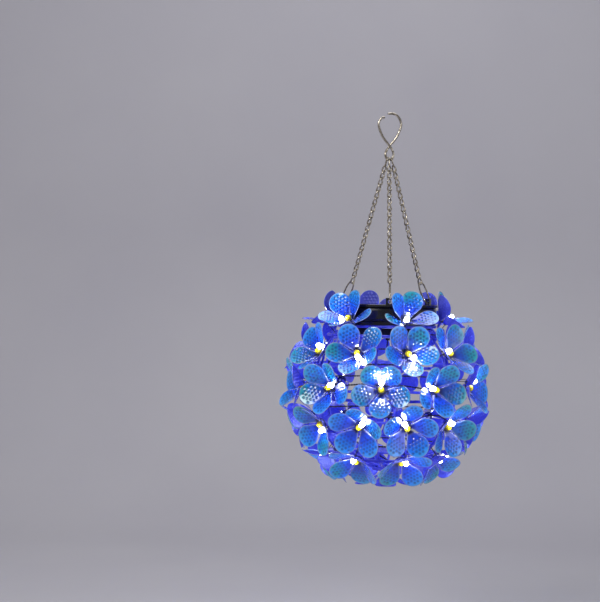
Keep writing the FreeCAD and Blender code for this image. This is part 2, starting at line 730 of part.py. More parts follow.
def end_links():
    links = []
    for az in (0, 120, 240):
        top, bottom = end_link_ends(az)
        links.append(link_in_place(LINK_WIRE, END_LINK_W, top, bottom, V(1, 0, 0)))
    return links


def hook():
    """One wire in a figure 8, its mouth at the loop's upper left."""
    shoulder = CROSSING - EYE_HALF * (LOOP_WIDEST - CROSSING) / LOOP_HALF
    points = [
        V(-MOUTH_END, 0, LOOP_TOP - MOUTH_DROP),
        V(-LOOP_HALF, 0, LOOP_TOP - SHOULDER_DROP),
        V(-LOOP_HALF, 0, LOOP_WIDEST),
        V(0, -CROSS_STEP, CROSSING),
        V(EYE_HALF, 0, shoulder),
        V(EYE_HALF, 0, EYE_BOTTOM),
        V(-EYE_HALF, 0, EYE_BOTTOM),
        V(-EYE_HALF, 0, shoulder),
        V(0, CROSS_STEP, CROSSING),
        V(LOOP_HALF, 0, LOOP_WIDEST),
        V(LOOP_HALF, 0, LOOP_TOP - SHOULDER_DROP),
        V(SEAT_HALF, 0, LOOP_TOP),
        V(-TIP_PAST, 0, LOOP_TOP),
    ]
    return tube(points, HOOK_WIRE)


# ---- the whole lantern -------------------------------------------------------------------
def build():
    flowers = all_flowers()
    set_tilts(flowers)
    petal = flat_petal()
    nodes = {
        "hook": [hook()],
        "end_links": end_links(),
        "chain_front": chain(0),
        "chain_right": chain(120),
        "chain_left": chain(240),
        "hangers": [hanger(az) for az in (0, 120, 240)],
        "solar_housing": [solar_housing()],
        "solar_cell": [solar_cell()],
        "battery_box": [battery_box()],
        "battery": [battery()],
        "battery_door": [battery_door()],
        "screws": screws(),
        "circuit_board": [circuit_board()],
        "power_switch": [power_switch()],
        "collar_ring": [Part.makeTorus(COLLAR_R, RING_WIRE / 2, V(0, 0, COLLAR_Z))],
        "frame_rings": frame_rings(),
        "frame_ribs": [rib(RIB_TURN + i * 360 / RIB_COUNT) for i in range(RIB_COUNT)],
        "flower_stems": [stem(flower) for flower in flowers],
        "pistils": [pistil(flower) for flower in flowers],
        "led_lamps": [led_lamp(flower) for flower in flowers],
        "led_string": string_pieces(flowers),
        "led_lead": [led_lead(flowers)],
        "flowers_bottom": [],
    }
    for flower in flowers:
        solid = flower_solid(flower, petal)
        if flower.row in ("bottom", "pole"):
            nodes["flowers_bottom"].append(solid)
        else:
            nodes[flower.name] = [solid]
    return nodes, flowers


def write(nodes):
    os.makedirs("parts", exist_ok=True)
    for name, solids in nodes.items():
        shape = Part.makeCompound(solids) if len(solids) > 1 else solids[0]
        shape = shape.copy()
        shape.translate(V(0, 0, -BALL_DROP))
        shape.exportStep("parts/%s.step" % name)


NODES, FLOWERS = build()
write(NODES)
TILTS = [tilt for flower in FLOWERS for tilt in flower.tilts]
print(len(NODES), "nodes,", len(FLOWERS), "flowers, petal tilts", min(TILTS), "to", max(TILTS))
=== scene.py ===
# %% [markdown]
# # A hanging ball of enamelled flowers
#
# The object is a small solar lamp. A wire ball carries about four dozen stamped
# steel flowers, each with a yellow bead and a white lamp at its middle. A black
# solar unit sits in the top, and three chains run up to a figure-8 hook.
#
# The engineering model gives the places and the moving bodies, so it is loaded
# first and never changed. Everything made below rides on one of its bodies.

# %% Load the frame
import math
import random

import bpy
import numpy as np
from mathutils import Matrix, Vector
from mathutils.geometry import delaunay_2d_cdt


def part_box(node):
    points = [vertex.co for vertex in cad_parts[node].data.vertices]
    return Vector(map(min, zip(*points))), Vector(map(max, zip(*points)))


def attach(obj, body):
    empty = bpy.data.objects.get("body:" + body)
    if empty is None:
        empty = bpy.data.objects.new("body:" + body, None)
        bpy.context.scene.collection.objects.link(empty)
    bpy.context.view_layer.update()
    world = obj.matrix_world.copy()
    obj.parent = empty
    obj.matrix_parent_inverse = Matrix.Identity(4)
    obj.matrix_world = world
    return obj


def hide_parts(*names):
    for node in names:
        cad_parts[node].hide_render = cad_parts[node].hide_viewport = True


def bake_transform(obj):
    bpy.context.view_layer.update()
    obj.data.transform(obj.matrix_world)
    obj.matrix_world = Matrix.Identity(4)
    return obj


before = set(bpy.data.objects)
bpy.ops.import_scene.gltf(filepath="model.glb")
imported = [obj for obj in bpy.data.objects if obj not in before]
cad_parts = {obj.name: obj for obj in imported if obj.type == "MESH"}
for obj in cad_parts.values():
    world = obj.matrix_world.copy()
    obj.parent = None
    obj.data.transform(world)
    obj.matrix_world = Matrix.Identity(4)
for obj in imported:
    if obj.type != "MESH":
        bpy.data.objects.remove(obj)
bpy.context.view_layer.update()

# %% [markdown]
# ## The ball's centre and the flower rows
#
# Every flower faces straight away from the ball's centre, so one point and a
# list of rows place them all. The centre could be typed in, but the collar ring
# already knows it: the ring lies on the ball's wire sphere, so its radius gives
# its height over the centre. Azimuth 0 is the front and grows to the right.

# %% Find the ball's centre
MM = 0.001
WIRE_SPHERE = 76.5 * MM
RING_WIRE = 2.8 * MM

collar_low, collar_high = [Vector(corner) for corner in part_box("collar_ring")]
COLLAR_RADIUS = (collar_high.x - collar_low.x) / 2 - RING_WIRE / 2
COLLAR_HEIGHT = math.sqrt(WIRE_SPHERE ** 2 - COLLAR_RADIUS ** 2)
BALL = (collar_low + collar_high) / 2 - Vector((0, 0, COLLAR_HEIGHT))
print("ball centre", [round(v, 4) for v in BALL])

# %% [markdown]
# ## The rows of flowers
#
# The flowers stand in rows round the ball, like a belt of tiles. One long list of
# places would hide that, so each row is a latitude, a count and a first azimuth.
# The front flowers are turned as on the real ball, and the rest by a fixed step.
# A lamp always stands in a gap between two petals, but never over the stem.

# %% Place the flowers
# name, latitude, how many, azimuth of the first
ROWS = (
    ("top", 51.0, 6, -43.7),
    ("upper", 26.0, 10, -59.9),
    ("middle", 3.0, 10, -78.0),
    ("lower", -21.5, 11, -53.7),
    ("bottom", -50.0, 8, -32.0),
    ("pole", -90.0, 1, 0.0),
)
RING_BELOW = 8.0
HUB_SPHERE = 81.0 * MM
TOP_HUB_SPHERE = 84.5 * MM
# the turn of a front flower, and the side of the bead its lamp stands on
FRONT_TURNS = {
    "flower_top_1": (20, -160), "flower_top_2": (25, 205),
    "flower_upper_1": (20, 90), "flower_upper_2": (43, 151),
    "flower_upper_3": (35, 140), "flower_upper_4": (28, -63),
    "flower_middle_2": (31, 60), "flower_middle_3": (37, 0),
    "flower_middle_4": (30, -60),
    "flower_lower_1": (20, 100), "flower_lower_2": (8, 50),
    "flower_lower_3": (2, -30), "flower_lower_4": (17, -26),
    "flower_bottom_1": (43, 0), "flower_bottom_2": (60, 20),
    "flower_pole": (0, 108),
}
PETALS = 5
PETAL_STEP = 360 / PETALS
TURN_STEP = 29
TOP_LAMP_SIDE = 150
STEM_SIDE = 20


def out_dir(lat, az):
    a, b = math.radians(az), math.radians(lat)
    return Vector((math.sin(a) * math.cos(b), -math.cos(a) * math.cos(b), math.sin(b)))


def east_dir(az):
    a = math.radians(az)
    return Vector((math.cos(a), math.sin(a), 0))


class Flower:
    """Where one flower stands and how it is turned."""

    def __init__(self, name, row, lat, az, order):
        self.name, self.row, self.lat, self.az = name, row, lat, az
        self.radius = TOP_HUB_SPHERE if row == "top" else HUB_SPHERE
        self.out, self.east = out_dir(lat, az), east_dir(az)
        self.north = self.out.cross(self.east)
        side = TOP_LAMP_SIDE if row == "top" else 0
        self.turn, lamp = FRONT_TURNS.get(name, (order * TURN_STEP % PETAL_STEP, side))
        gap = self.turn + PETAL_STEP / 2
        gap += PETAL_STEP * round((lamp - gap) / PETAL_STEP)
        if abs(gap % 360 - 180) < STEM_SIDE:
            gap += PETAL_STEP
        self.lamp_turn = gap
        self.tilts = []

    def spot(self, turn, reach, height):
        """Point beside the flower's middle, at some height over its hub."""
        a = math.radians(turn)
        side = self.north * math.cos(a) + self.east * math.sin(a)
        return BALL + self.out * (self.radius + height) + side * reach


flowers = []
for row, lat, count, first in ROWS:
    for i in range(count):
        label = "flower_pole" if row == "pole" else "flower_%s_%d" % (row, i + 1)
        flowers.append(Flower(label, row, lat, first + 360 / count * i, len(flowers) + 1))
print(len(flowers), "flowers")

# %% [markdown]
# ## A pile of shapes that becomes one mesh
#
# Beads, lamps and links come in dozens. Fifty objects of one bead each would be
# slow to pose and hard to read, so a small class collects the shapes of one
# kind, with a few numbers kept for each point, and makes one mesh of them.

# %% The pile
class Pile:
    def __init__(self, *marks):
        self.points, self.faces = [], []
        self.marks = {mark: [] for mark in marks}

    def add(self, points, faces, **values):
        start = len(self.points)
        self.points.extend(tuple(p) for p in points)
        self.faces.extend(tuple(start + i for i in face) for face in faces)
        for mark, kept in self.marks.items():
            given = values.get(mark, 0.0)
            kept.extend(given if hasattr(given, "__len__") else [given] * len(points))

    def piece(self, name, material, body, slot, nodes):
        """One object of the whole pile. A piece that spans a joint is given no body."""
        mesh = bpy.data.meshes.new(name)
        mesh.from_pydata(self.points, [], self.faces)
        mesh.shade_smooth()
        for mark, kept in self.marks.items():
            mesh.attributes.new(mark, "FLOAT", "POINT").data.foreach_set("value", kept)
        mesh.materials.append(material)
        made = bpy.data.objects.new(name, mesh)
        bpy.context.scene.collection.objects.link(made)
        if body:
            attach(made, body)
        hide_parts(*nodes)
        print(name, len(self.points), "points")
        return made


print("a pile keeps", ", ".join(vars(Pile())))

# %% [markdown]
# ## Wire and turned shapes
#
# Nearly all that isn't a petal is wire or a turned part. Blender's curve objects
# could draw the wire, but they'd stay separate objects. These three helpers give
# plain points and faces, which any pile can take.

# %% Wire, curve and lathe
def tube(path, radius, sides=12, closed=False):
    """Round wire along a list of points, its rings turned as little as possible."""
    count = len(path)
    path = [Vector(p) for p in path]
    points, faces = [], []
    side = None
    for i, p in enumerate(path):
        before = path[i - 1] if closed or i else path[0]
        after = path[(i + 1) % count] if closed or i < count - 1 else path[-1]
        ahead = (after - before).normalized()
        if side is None:
            side = ahead.orthogonal().normalized()
        side = (side - ahead * side.dot(ahead)).normalized()
        up = ahead.cross(side)
        for k in range(sides):
            a = 2 * math.pi * k / sides
            points.append(p + (side * math.cos(a) + up * math.sin(a)) * radius)
    if closed:
        # the last ring meets the first at the turn where the points lie nearest
        last = points[-sides:]
        shift = min(range(sides), key=lambda s: (last[0] - points[s]).length)
    for i in range(count if closed else count - 1):
        j = (i + 1) % count
        for k in range(sides):
            m = (k + 1) % sides
            slip = shift if closed and j == 0 else 0
            faces.append((i * sides + k, i * sides + m,
                          j * sides + (m + slip) % sides, j * sides + (k + slip) % sides))
    if not closed:
        for ring, tip, flip in ((0, path[0], True), (count - 1, path[-1], False)):
            away = path[0] - path[1] if flip else path[-1] - path[-2]
            points.append(tip + away.normalized() * radius * 0.5)
            centre = len(points) - 1
            for k in range(sides):
                m = (k + 1) % sides
                pair = (ring * sides + k, ring * sides + m)
                faces.append((centre,) + (pair[::-1] if flip else pair))
    return points, faces


def smooth_path(corners, steps, closed=False):
    """Catmull-Rom curve through the corners."""
    count = len(corners)
    out = []
    for i in range(count if closed else count - 1):
        if closed:
            p0, p1, p2, p3 = [corners[(i + k) % count] for k in (-1, 0, 1, 2)]
        else:
            p0, p1 = corners[max(i - 1, 0)], corners[i]
            p2, p3 = corners[i + 1], corners[min(i + 2, count - 1)]
        for s in range(steps):
            t = s / steps
            out.append(0.5 * (2 * p1 + (p2 - p0) * t + (2 * p0 - 5 * p1 + 4 * p2 - p3) * t * t
                              + (3 * p1 - p0 - 3 * p2 + p3) * t ** 3))
    if not closed:
        out.append(corners[-1])
    return out


def lathe(profile, centre, axis, side, segments=20):
    """Turned shape: profile is a list of (radius, height) along the axis."""
    other = axis.cross(side)
    points, faces = [], []
    for r, h in profile:
        for k in range(segments):
            a = 2 * math.pi * k / segments
            points.append(centre + axis * h + (side * math.cos(a) + other * math.sin(a)) * r)
    rings = len(profile)
    for i in range(rings - 1):
        for k in range(segments):
            m = (k + 1) % segments
            faces.append((i * segments + k, i * segments + m,
                          (i + 1) * segments + m, (i + 1) * segments + k))
    faces.append(tuple(range(segments))[::-1])
    faces.append(tuple((rings - 1) * segments + k for k in range(segments)))
    return points, faces


print("a wire of two points has", len(tube([(0, 0, 0), (0, 0, 1)], 0.1)[1]), "faces")

# %% [markdown]
# ## Worn patches, the shared effect
#
# Nothing on the lamp is one even colour: wire tarnishes in patches, enamel
# clouds, and moulded plastic has a soft grain. All of that is noise at different
# scales, so one node group, built once, gives a mask of patches and a bump to
# match. It puts out no shader. Each material places it with its own values.

# %% The patches group
def node(tree, kind, **settings):
    made = tree.nodes.new(kind)
    for key, value in settings.items():
        setattr(made, key, value)
    return made


def new_group(name, inputs, outputs):
    tree = bpy.data.node_groups.new(name, "ShaderNodeTree")
    for label, value in inputs:
        socket = tree.interface.new_socket(label, in_out="INPUT", socket_type="NodeSocketFloat")
        socket.default_value = value
    for label, kind in outputs:
        tree.interface.new_socket(label, in_out="OUTPUT", socket_type=kind)
    return tree, node(tree, "NodeGroupInput"), node(tree, "NodeGroupOutput")


def patches(name):
    """Noise in the object's own space: a mask of patches and a bump to match."""
    tree, given, out = new_group(
        name,
        [("Size", 200.0), ("Spread", 0.5), ("Sharpness", 0.1), ("Bump", 0.2)],
        [("Mask", "NodeSocketFloat"), ("Normal", "NodeSocketVector")])
    place = node(tree, "ShaderNodeTexCoord")
    noise = node(tree, "ShaderNodeTexNoise")
    noise.inputs["Detail"].default_value = 5.0
    low = node(tree, "ShaderNodeMath", operation="SUBTRACT")
    high = node(tree, "ShaderNodeMath", operation="ADD")
    step = node(tree, "ShaderNodeMapRange", interpolation_type="SMOOTHSTEP")
    bump = node(tree, "ShaderNodeBump")
    bump.inputs["Distance"].default_value = 0.0002
    join = tree.links.new
    join(place.outputs["Object"], noise.inputs["Vector"])
    join(given.outputs["Size"], noise.inputs["Scale"])
    join(given.outputs["Spread"], low.inputs[0])
    join(given.outputs["Sharpness"], low.inputs[1])
    join(given.outputs["Spread"], high.inputs[0])
    join(given.outputs["Sharpness"], high.inputs[1])
    join(noise.outputs["Fac"], step.inputs["Value"])
    join(low.outputs[0], step.inputs["From Min"])
    join(high.outputs[0], step.inputs["From Max"])
    join(step.outputs["Result"], out.inputs["Mask"])
    join(noise.outputs["Fac"], bump.inputs["Height"])
    join(given.outputs["Bump"], bump.inputs["Strength"])
    join(bump.outputs["Normal"], out.inputs["Normal"])
    return tree


PATCHES = patches("Worn patches")
print(PATCHES.name, "has", len(PATCHES.nodes), "nodes")

# %% [markdown]
# ## Plain finishes
#
# Most finishes are two near colours that change over in patches, with a
# roughness that follows the same patches. A helper that makes such a finish from
# its two colours keeps each of them to a few values that can be compared.

# %% Finish helpers
def place_group(tree, group, **values):
    made = node(tree, "ShaderNodeGroup", node_tree=group)
    for key, value in values.items():
        made.inputs[key].default_value = value
    return made


def new_material(name, **sockets):
    made = bpy.data.materials.new(name)
    made.use_nodes = True
    shader = made.node_tree.nodes["Principled BSDF"]
    for key, value in sockets.items():
        shader.inputs[key.replace("_", " ")].default_value = value
    return made, made.node_tree, shader


def mix_colours(tree, factor, first, second):
    """Mix two colours, each a value or a socket, and give back the result socket."""
    made = node(tree, "ShaderNodeMix", data_type="RGBA")
    for socket, value in ((made.inputs[0], factor), (made.inputs[6], first),
                          (made.inputs[7], second)):
        if hasattr(value, "is_linked"):
            tree.links.new(value, socket)
        else:
            socket.default_value = value if isinstance(value, float) else (*value, 1.0)
    return made.outputs[2]


def roughness_from(tree, mask, shader, low, high):
    spread = node(tree, "ShaderNodeMapRange")
    spread.inputs["To Min"].default_value = low
    spread.inputs["To Max"].default_value = high
    tree.links.new(mask, spread.inputs["Value"])
    tree.links.new(spread.outputs["Result"], shader.inputs["Roughness"])


def patched(name, clean, worn, rough, size, spread, sharpness, bump, **sockets):
    """A finish of two colours in patches, with roughness and bump to match."""
    material, tree, shader = new_material(name, **sockets)
    wear = place_group(tree, PATCHES, Size=size, Spread=spread, Sharpness=sharpness, Bump=bump)
    colour = mix_colours(tree, wear.outputs["Mask"], clean, worn)
    tree.links.new(colour, shader.inputs["Base Color"])
    tree.links.new(wear.outputs["Normal"], shader.inputs["Normal"])
    roughness_from(tree, wear.outputs["Mask"], shader, *rough)
    return material


# %% Make the plain finishes
# each has its clean colour, worn colour, range of roughness, then the patches' values
STEEL = patched("Tarnished nickel wire", (0.66, 0.60, 0.50), (0.20, 0.17, 0.13), (0.2, 0.42),
                420.0, 0.52, 0.12, 0.25, Metallic=1.0)
SCREW_STEEL = patched("Zinc screws", (0.62, 0.63, 0.65), (0.4, 0.4, 0.42), (0.25, 0.4),
                      500.0, 0.5, 0.2, 0.2, Metallic=1.0)
FRAME_BLUE = patched("Violet-blue wire enamel", (0.06, 0.08, 0.75), (0.12, 0.13, 0.85),
                     (0.25, 0.45), 160.0, 0.5, 0.15, 0.2, Coat_Weight=0.5, Coat_Roughness=0.15)
LID_BLACK = patched("Glossy black plastic", (0.004, 0.0045, 0.008), (0.012, 0.013, 0.02),
                    (0.10, 0.24), 90.0, 0.5, 0.3, 0.04, Coat_Weight=0.4, Coat_Roughness=0.06)
BOX_BLACK = patched("Satin black plastic", (0.006, 0.006, 0.009), (0.014, 0.014, 0.018),
                    (0.38, 0.55), 260.0, 0.5, 0.3, 0.12)
LEAD_BLACK = patched("Black wire insulation", (0.006, 0.006, 0.008), (0.02, 0.02, 0.025),
                     (0.4, 0.6), 300.0, 0.5, 0.3, 0.1)
SLEEVE = patched("Green battery sleeve", (0.02, 0.20, 0.06), (0.03, 0.25, 0.08), (0.25, 0.35),
                 120.0, 0.5, 0.3, 0.04)
BOARD = patched("Green circuit board", (0.004, 0.10, 0.035), (0.01, 0.14, 0.05), (0.3, 0.45),
                300.0, 0.5, 0.2, 0.05)
BEAD = patched("Yellow bead enamel", (0.80, 0.68, 0.005), (0.62, 0.36, 0.01), (0.18, 0.38),
               260.0, 0.55, 0.2, 0.1, Coat_Weight=0.7, Coat_Roughness=0.08)
print("finishes", ", ".join(made.name for made in bpy.data.materials))

# %% [markdown]
# ## Petal enamel
#
# Each petal runs from deep royal blue at its root through bright blue to a pale
# lilac rim, with teal clouds that differ from petal to petal. Paint like this is
# flooded over hammered metal: it pools dark in the dimples and breaks thin and
# pale at the cut edge. The petal meshes carry those facts as point attributes,
# so the material only has to read them, and the pattern stays on the petal
# however the ball is turned. The clear coat over the paint is what catches a
# small white light in each dimple.

# %% Petal material
def attribute(tree, name):
    return node(tree, "ShaderNodeAttribute", attribute_name=name).outputs["Fac"]


def ramp(tree, factor, stops):
    made = node(tree, "ShaderNodeValToRGB")
    band = made.color_ramp
    while len(band.elements) < len(stops):
        band.elements.new(0.5)
    for element, (place, colour) in zip(band.elements, stops):
        element.position = place
        element.color = (*colour, 1.0)
    tree.links.new(factor, made.inputs["Fac"])
    return made.outputs["Color"]


def calculate(tree, operation, first, second):
    made = node(tree, "ShaderNodeMath", operation=operation)
    for socket, value in zip(made.inputs, (first, second)):
        if hasattr(value, "is_linked"):
            tree.links.new(value, socket)
        else:
            socket.default_value = value
    return made.outputs[0]


def petal_enamel():
    material, tree, shader = new_material(
        "Hammered petal enamel", Coat_Weight=1.0, Coat_Roughness=0.05, Coat_IOR=1.85,
        Specular_IOR_Level=0.1)
    along, rim = attribute(tree, "along"), attribute(tree, "rim")
    dimple, tone = attribute(tree, "dimple"), attribute(tree, "tone")
    front = attribute(tree, "front")
    clouds = place_group(tree, PATCHES, Size=70.0, Spread=0.47, Sharpness=0.14, Bump=0.12)
    grain = place_group(tree, PATCHES, Size=900.0, Spread=0.5, Sharpness=0.25, Bump=0.2)
    blue = ramp(tree, along, [(0.12, (0.0, 0.004, 0.12)), (0.42, (0.0, 0.035, 0.48)),
                              (0.74, (0.0, 0.19, 0.90)), (0.97, (0.04, 0.36, 1.0))])
    teal = ramp(tree, along, [(0.12, (0.0, 0.006, 0.12)), (0.42, (0.0, 0.065, 0.26)),
                              (0.72, (0.0, 0.24, 0.36)), (0.97, (0.02, 0.36, 0.42))])
    cloud_cover = calculate(tree, "MULTIPLY", clouds.outputs["Mask"], tone)
    body = mix_colours(tree, cloud_cover, blue, teal)
    pool = calculate(tree, "POWER", dimple, 0.6)
    pooled = mix_colours(tree, calculate(tree, "MULTIPLY", pool, 0.8), body,
                         (0.0, 0.008, 0.13))
    pale_rim = calculate(tree, "MULTIPLY", calculate(tree, "POWER", rim, 2.5), 0.5)
    edged = mix_colours(tree, pale_rim, pooled, (0.30, 0.36, 0.62))
    worn_edge = calculate(tree, "MULTIPLY",
                          calculate(tree, "POWER", rim, 9.0), grain.outputs["Mask"])
    edged = mix_colours(tree, worn_edge, edged, (0.62, 0.60, 0.50))
    under = mix_colours(tree, along, (0.05, 0.06, 0.75), (0.12, 0.15, 0.95))
    colour = mix_colours(tree, front, under, edged)
    tree.links.new(colour, shader.inputs["Base Color"])
    tree.links.new(grain.outputs["Normal"], shader.inputs["Normal"])
    roughness_from(tree, grain.outputs["Mask"], shader, 0.16, 0.28)
    return material


PETAL = petal_enamel()
print(PETAL.name, "has", len(PETAL.node_tree.nodes), "nodes")

# %% [markdown]
# ## One petal, cut and hammered flat
#
# The blank is a drop shape: two straight sides that run into a round end. It
# could be a subdivided grid, but the dimples sit in a staggered lattice, and a
# grid that doesn't follow it gives each dimple a different shape. Here the
# points are the lattice itself, four steps to a dimple, and a constrained
# Delaunay fill joins them to the cut edge.

# %% Cut the blank
PETAL_LENGTH = 31.0 * MM
PETAL_ROUND = 10.3 * MM
PETAL_ROOT = 3.5 * MM
ROOT_HALF = 1.5 * MM
SHEET = 0.5 * MM
DIMPLE_PITCH = 3.5 * MM
DIMPLE_RADIUS = 1.7 * MM
DIMPLE_DEPTH = 0.55 * MM
PLAIN_RIM = 2.3 * MM
DIMPLES_FROM = 8.0 * MM
STEPS_IN_DIMPLE = 4
EDGE_STEP = 1.0 * MM
SECOND_RING = 0.45 * MM     # a second ring of points, this far inside the cut edge
LATTICE_INSET = 0.85 * MM


def blank_outline(inset=0.0):
    """Closed outline as (across, along), from the root's right corner round."""
    radius = PETAL_ROUND - inset
    centre = PETAL_LENGTH - PETAL_ROUND
    base = PETAL_ROOT + inset
    half = max(ROOT_HALF - inset, ROOT_HALF * 0.3)
    run = math.hypot(centre - base, half)
    touch = math.acos(radius / run) - math.atan2(half, centre - base)
    side = Vector((radius * math.sin(touch), centre - radius * math.cos(touch)))
    corner = Vector((half, base))
    steps = max(2, round((side - corner).length / EDGE_STEP))
    right = [corner.lerp(side, i / steps) for i in range(steps)]
    sweep = 2 * (math.pi - touch)
    turns = round(radius * sweep / EDGE_STEP)
    arc = []
    for i in range(turns + 1):
        a = touch + sweep * i / turns
        arc.append(Vector((radius * math.sin(a), centre - radius * math.cos(a))))
    left = [Vector((-p.x, p.y)) for p in reversed(right)]
    return right + arc + left


def inside_blank(point, margin):
    """True where a point lies on the blank with at least the margin round it."""
    radius = PETAL_ROUND - margin
    centre = Vector((0, PETAL_LENGTH - PETAL_ROUND))
    if (point - centre).length < radius:
        return True
    if not PETAL_ROOT + margin < point.y < centre.y:
        return False
    slope = (PETAL_ROUND * 0.98 - ROOT_HALF) / (centre.y - PETAL_ROOT)
    return abs(point.x) < ROOT_HALF + slope * (point.y - PETAL_ROOT) - margin * 1.15


def cut_blank():
    outline = blank_outline()
    points = outline + blank_outline(SECOND_RING)
    fine = DIMPLE_PITCH / STEPS_IN_DIMPLE
    row = fine * math.sqrt(3) / 2
    columns = math.ceil(PETAL_ROUND / fine) + 1
    for k in range(int(PETAL_LENGTH / row)):
        for i in range(-columns, columns + 1):
            p = Vector(((i + 0.5 * (k % 2)) * fine, k * row))
            if inside_blank(p, LATTICE_INSET):
                points.append(p)
    loop = list(range(len(outline)))
    # 1 keeps only what is inside the loop, and points nearer than the last value merge
    filled = delaunay_2d_cdt(points, [], [loop], 1, 1e-7)
    return [Vector(p) for p in filled[0]], [tuple(f) for f in filled[2]], outline


blank, blank_faces, blank_edge = cut_blank()
print("blank", len(blank), "points,", len(blank_faces), "faces")

# %% [markdown]
# ## Where the dimples are
#
# The punch leaves a plain rim and a plain root. Rather than push the points down
# here, each point only learns how deep it lies in its dimple and how far it is
# from the cut edge. The bend uses the first, and the enamel uses both.

# %% Mark the dimples and the edge
def dimple_depth(point):
    """0 on plain metal, 1 at the middle of a dimple."""
    row = DIMPLE_PITCH * math.sqrt(3) / 2
    best = 1.0
    near_row = round(point.y / row)
    for k in (near_row - 1, near_row, near_row + 1):
        shift = 0.5 * (k % 2)
        i = round(point.x / DIMPLE_PITCH - shift)
        centre = Vector(((i + shift) * DIMPLE_PITCH, k * row))
        if centre.y > DIMPLES_FROM and inside_blank(centre, PLAIN_RIM):
            best = min(best, (point - centre).length / DIMPLE_RADIUS)
    return 0.5 + 0.5 * math.cos(math.pi * best)


a, b, c = [blank[i].to_3d() for i in blank_faces[0][:3]]
if (b - a).cross(c - a).z < 0:
    blank_faces = [face[::-1] for face in blank_faces]
edge_uses = {}
for face in blank_faces:
    for a, b in zip(face, face[1:] + face[:1]):
        edge_uses[(a, b)] = edge_uses.get((a, b), 0) + 1
rim_edges = [pair for pair in edge_uses if pair[::-1] not in edge_uses]
BLANK = np.array([(p.x, p.y) for p in blank])
DIMPLE = np.array([dimple_depth(p) for p in blank])
TO_EDGE = np.array([min((p - q).length for q in blank_edge) for p in blank])
print(len(rim_edges), "steps of cut edge,", int((DIMPLE > 0.5).sum()), "points in dimples")

# %% [markdown]
# ## Bending the petals so that no two flowers touch
#
# Each flower owns the part of space nearer to its own axis than to a
# neighbour's. A petal starts nearly flat and is bent up, one degree at a time,
# until its whole edge lies in its flower's share. Two flowers can then never cut
# through each other. Besides the bend at the root, a petal is a shallow spoon:
# it is steeper at the root than at the tip, and its sides stand up a little.

# %% The bend
TILT_LEAST = 18
TILT_MOST = 66
PETAL_GAP = 0.8 * MM
CURL = 9.0
SPOON = 1.3 * MM
HUB_THICK = 0.8 * MM
LID_GUARD_R = 49.8 * MM     # over this height a petal keeps out of this radius
LID_GUARD = 60.0 * MM
NEAR_FLOWER = 0.25          # flowers whose axes are closer than this cosine are neighbours
BEND_STEPS = 60


def bend(flat, dents, tilt, spoon):
    """Bent petal in its flower's own axes: across, ahead, up; and its up normals."""
    reach = flat[:, 1] - PETAL_ROOT
    full = PETAL_LENGTH - PETAL_ROOT
    steps = np.linspace(0, full, BEND_STEPS)
    angles = np.radians(tilt + CURL * (1 - 2 * steps / full))
    ahead = np.concatenate([[0], np.cumsum(np.cos(angles[:-1]) * np.diff(steps))])
    rise = np.concatenate([[0], np.cumsum(np.sin(angles[:-1]) * np.diff(steps))])
    angle = np.interp(reach, steps, angles)
    y = PETAL_ROOT + np.interp(reach, steps, ahead)
    z = HUB_THICK / 2 + np.interp(reach, steps, rise)
    lift = spoon * (flat[:, 0] / PETAL_ROUND) ** 2 * np.clip(reach / full, 0, 1)
    lift = lift - DIMPLE_DEPTH * dents
    bent = np.stack([flat[:, 0], y - np.sin(angle) * lift, z + np.cos(angle) * lift], axis=1)
    normal = np.stack([np.zeros_like(angle), -np.sin(angle), np.cos(angle)], axis=1)
    return bent, normal


def petal_axes(flower, turn):
    a = math.radians(turn)
    ahead = flower.north * math.cos(a) + flower.east * math.sin(a)
    side = flower.east * math.cos(a) - flower.north * math.sin(a)
    return np.array([side, ahead, flower.out])


tip = bend(np.array([[0.0, PETAL_LENGTH]]), np.zeros(1), TILT_LEAST, SPOON)[0][0]
print("the least bent petal rises", round(tip[2] / MM, 1), "mm")

# %% Find each petal's tilt
EDGE = np.array([(p.x, p.y) for p in blank_edge])


def fits(flower, turn, tilt, walls):
    """True if the petal's edge stays in its flower's share and off the lid."""
    bent, normal = bend(EDGE, np.zeros(len(EDGE)), tilt, SPOON)
    centre = np.array(flower.out * flower.radius)
    for layer in (bent, bent - normal * SHEET):
        world = layer @ petal_axes(flower, turn) + centre
        if (world @ walls.T).min() < PETAL_GAP / 2:
            return False
        height, wide = world[:, 2], np.hypot(world[:, 0], world[:, 1])
        if (wide[height > LID_GUARD] < LID_GUARD_R).any():
            return False
    return True


for flower in flowers:
    near = [f for f in flowers if f is not flower and flower.out.dot(f.out) > NEAR_FLOWER]
    walls = np.array([(flower.out - f.out).normalized() for f in near])
    for k in range(PETALS):
        turn = flower.turn + k * PETAL_STEP
        tilt = TILT_LEAST
        while tilt < TILT_MOST and not fits(flower, turn, tilt, walls):
            tilt += 1
        flower.tilts.append(tilt)
print("petal tilts", min(min(f.tilts) for f in flowers), "to", max(max(f.tilts) for f in flowers))

# %% [markdown]
# ## The flowers
#
# A flower is one stamping: five petals on a small domed hub. Each flower is a
# piece of its own, as on the real ball, where they are clipped on one by one.
# The petals' colours are mixed by a seeded random tone, so that neighbours
# differ but every run gives the same ball.

# %% Make the flowers
HUB_RADIUS = 5.2 * MM
HUB_SIDES = 24
chance = random.Random(7)
HUB_PROFILE = [(HUB_RADIUS * 0.98, 0.0), (HUB_RADIUS, 0.3 * MM), (HUB_RADIUS * 0.93, 1.0 * MM),
               (HUB_RADIUS * 0.75, 1.45 * MM), (HUB_RADIUS * 0.45, 1.65 * MM)]


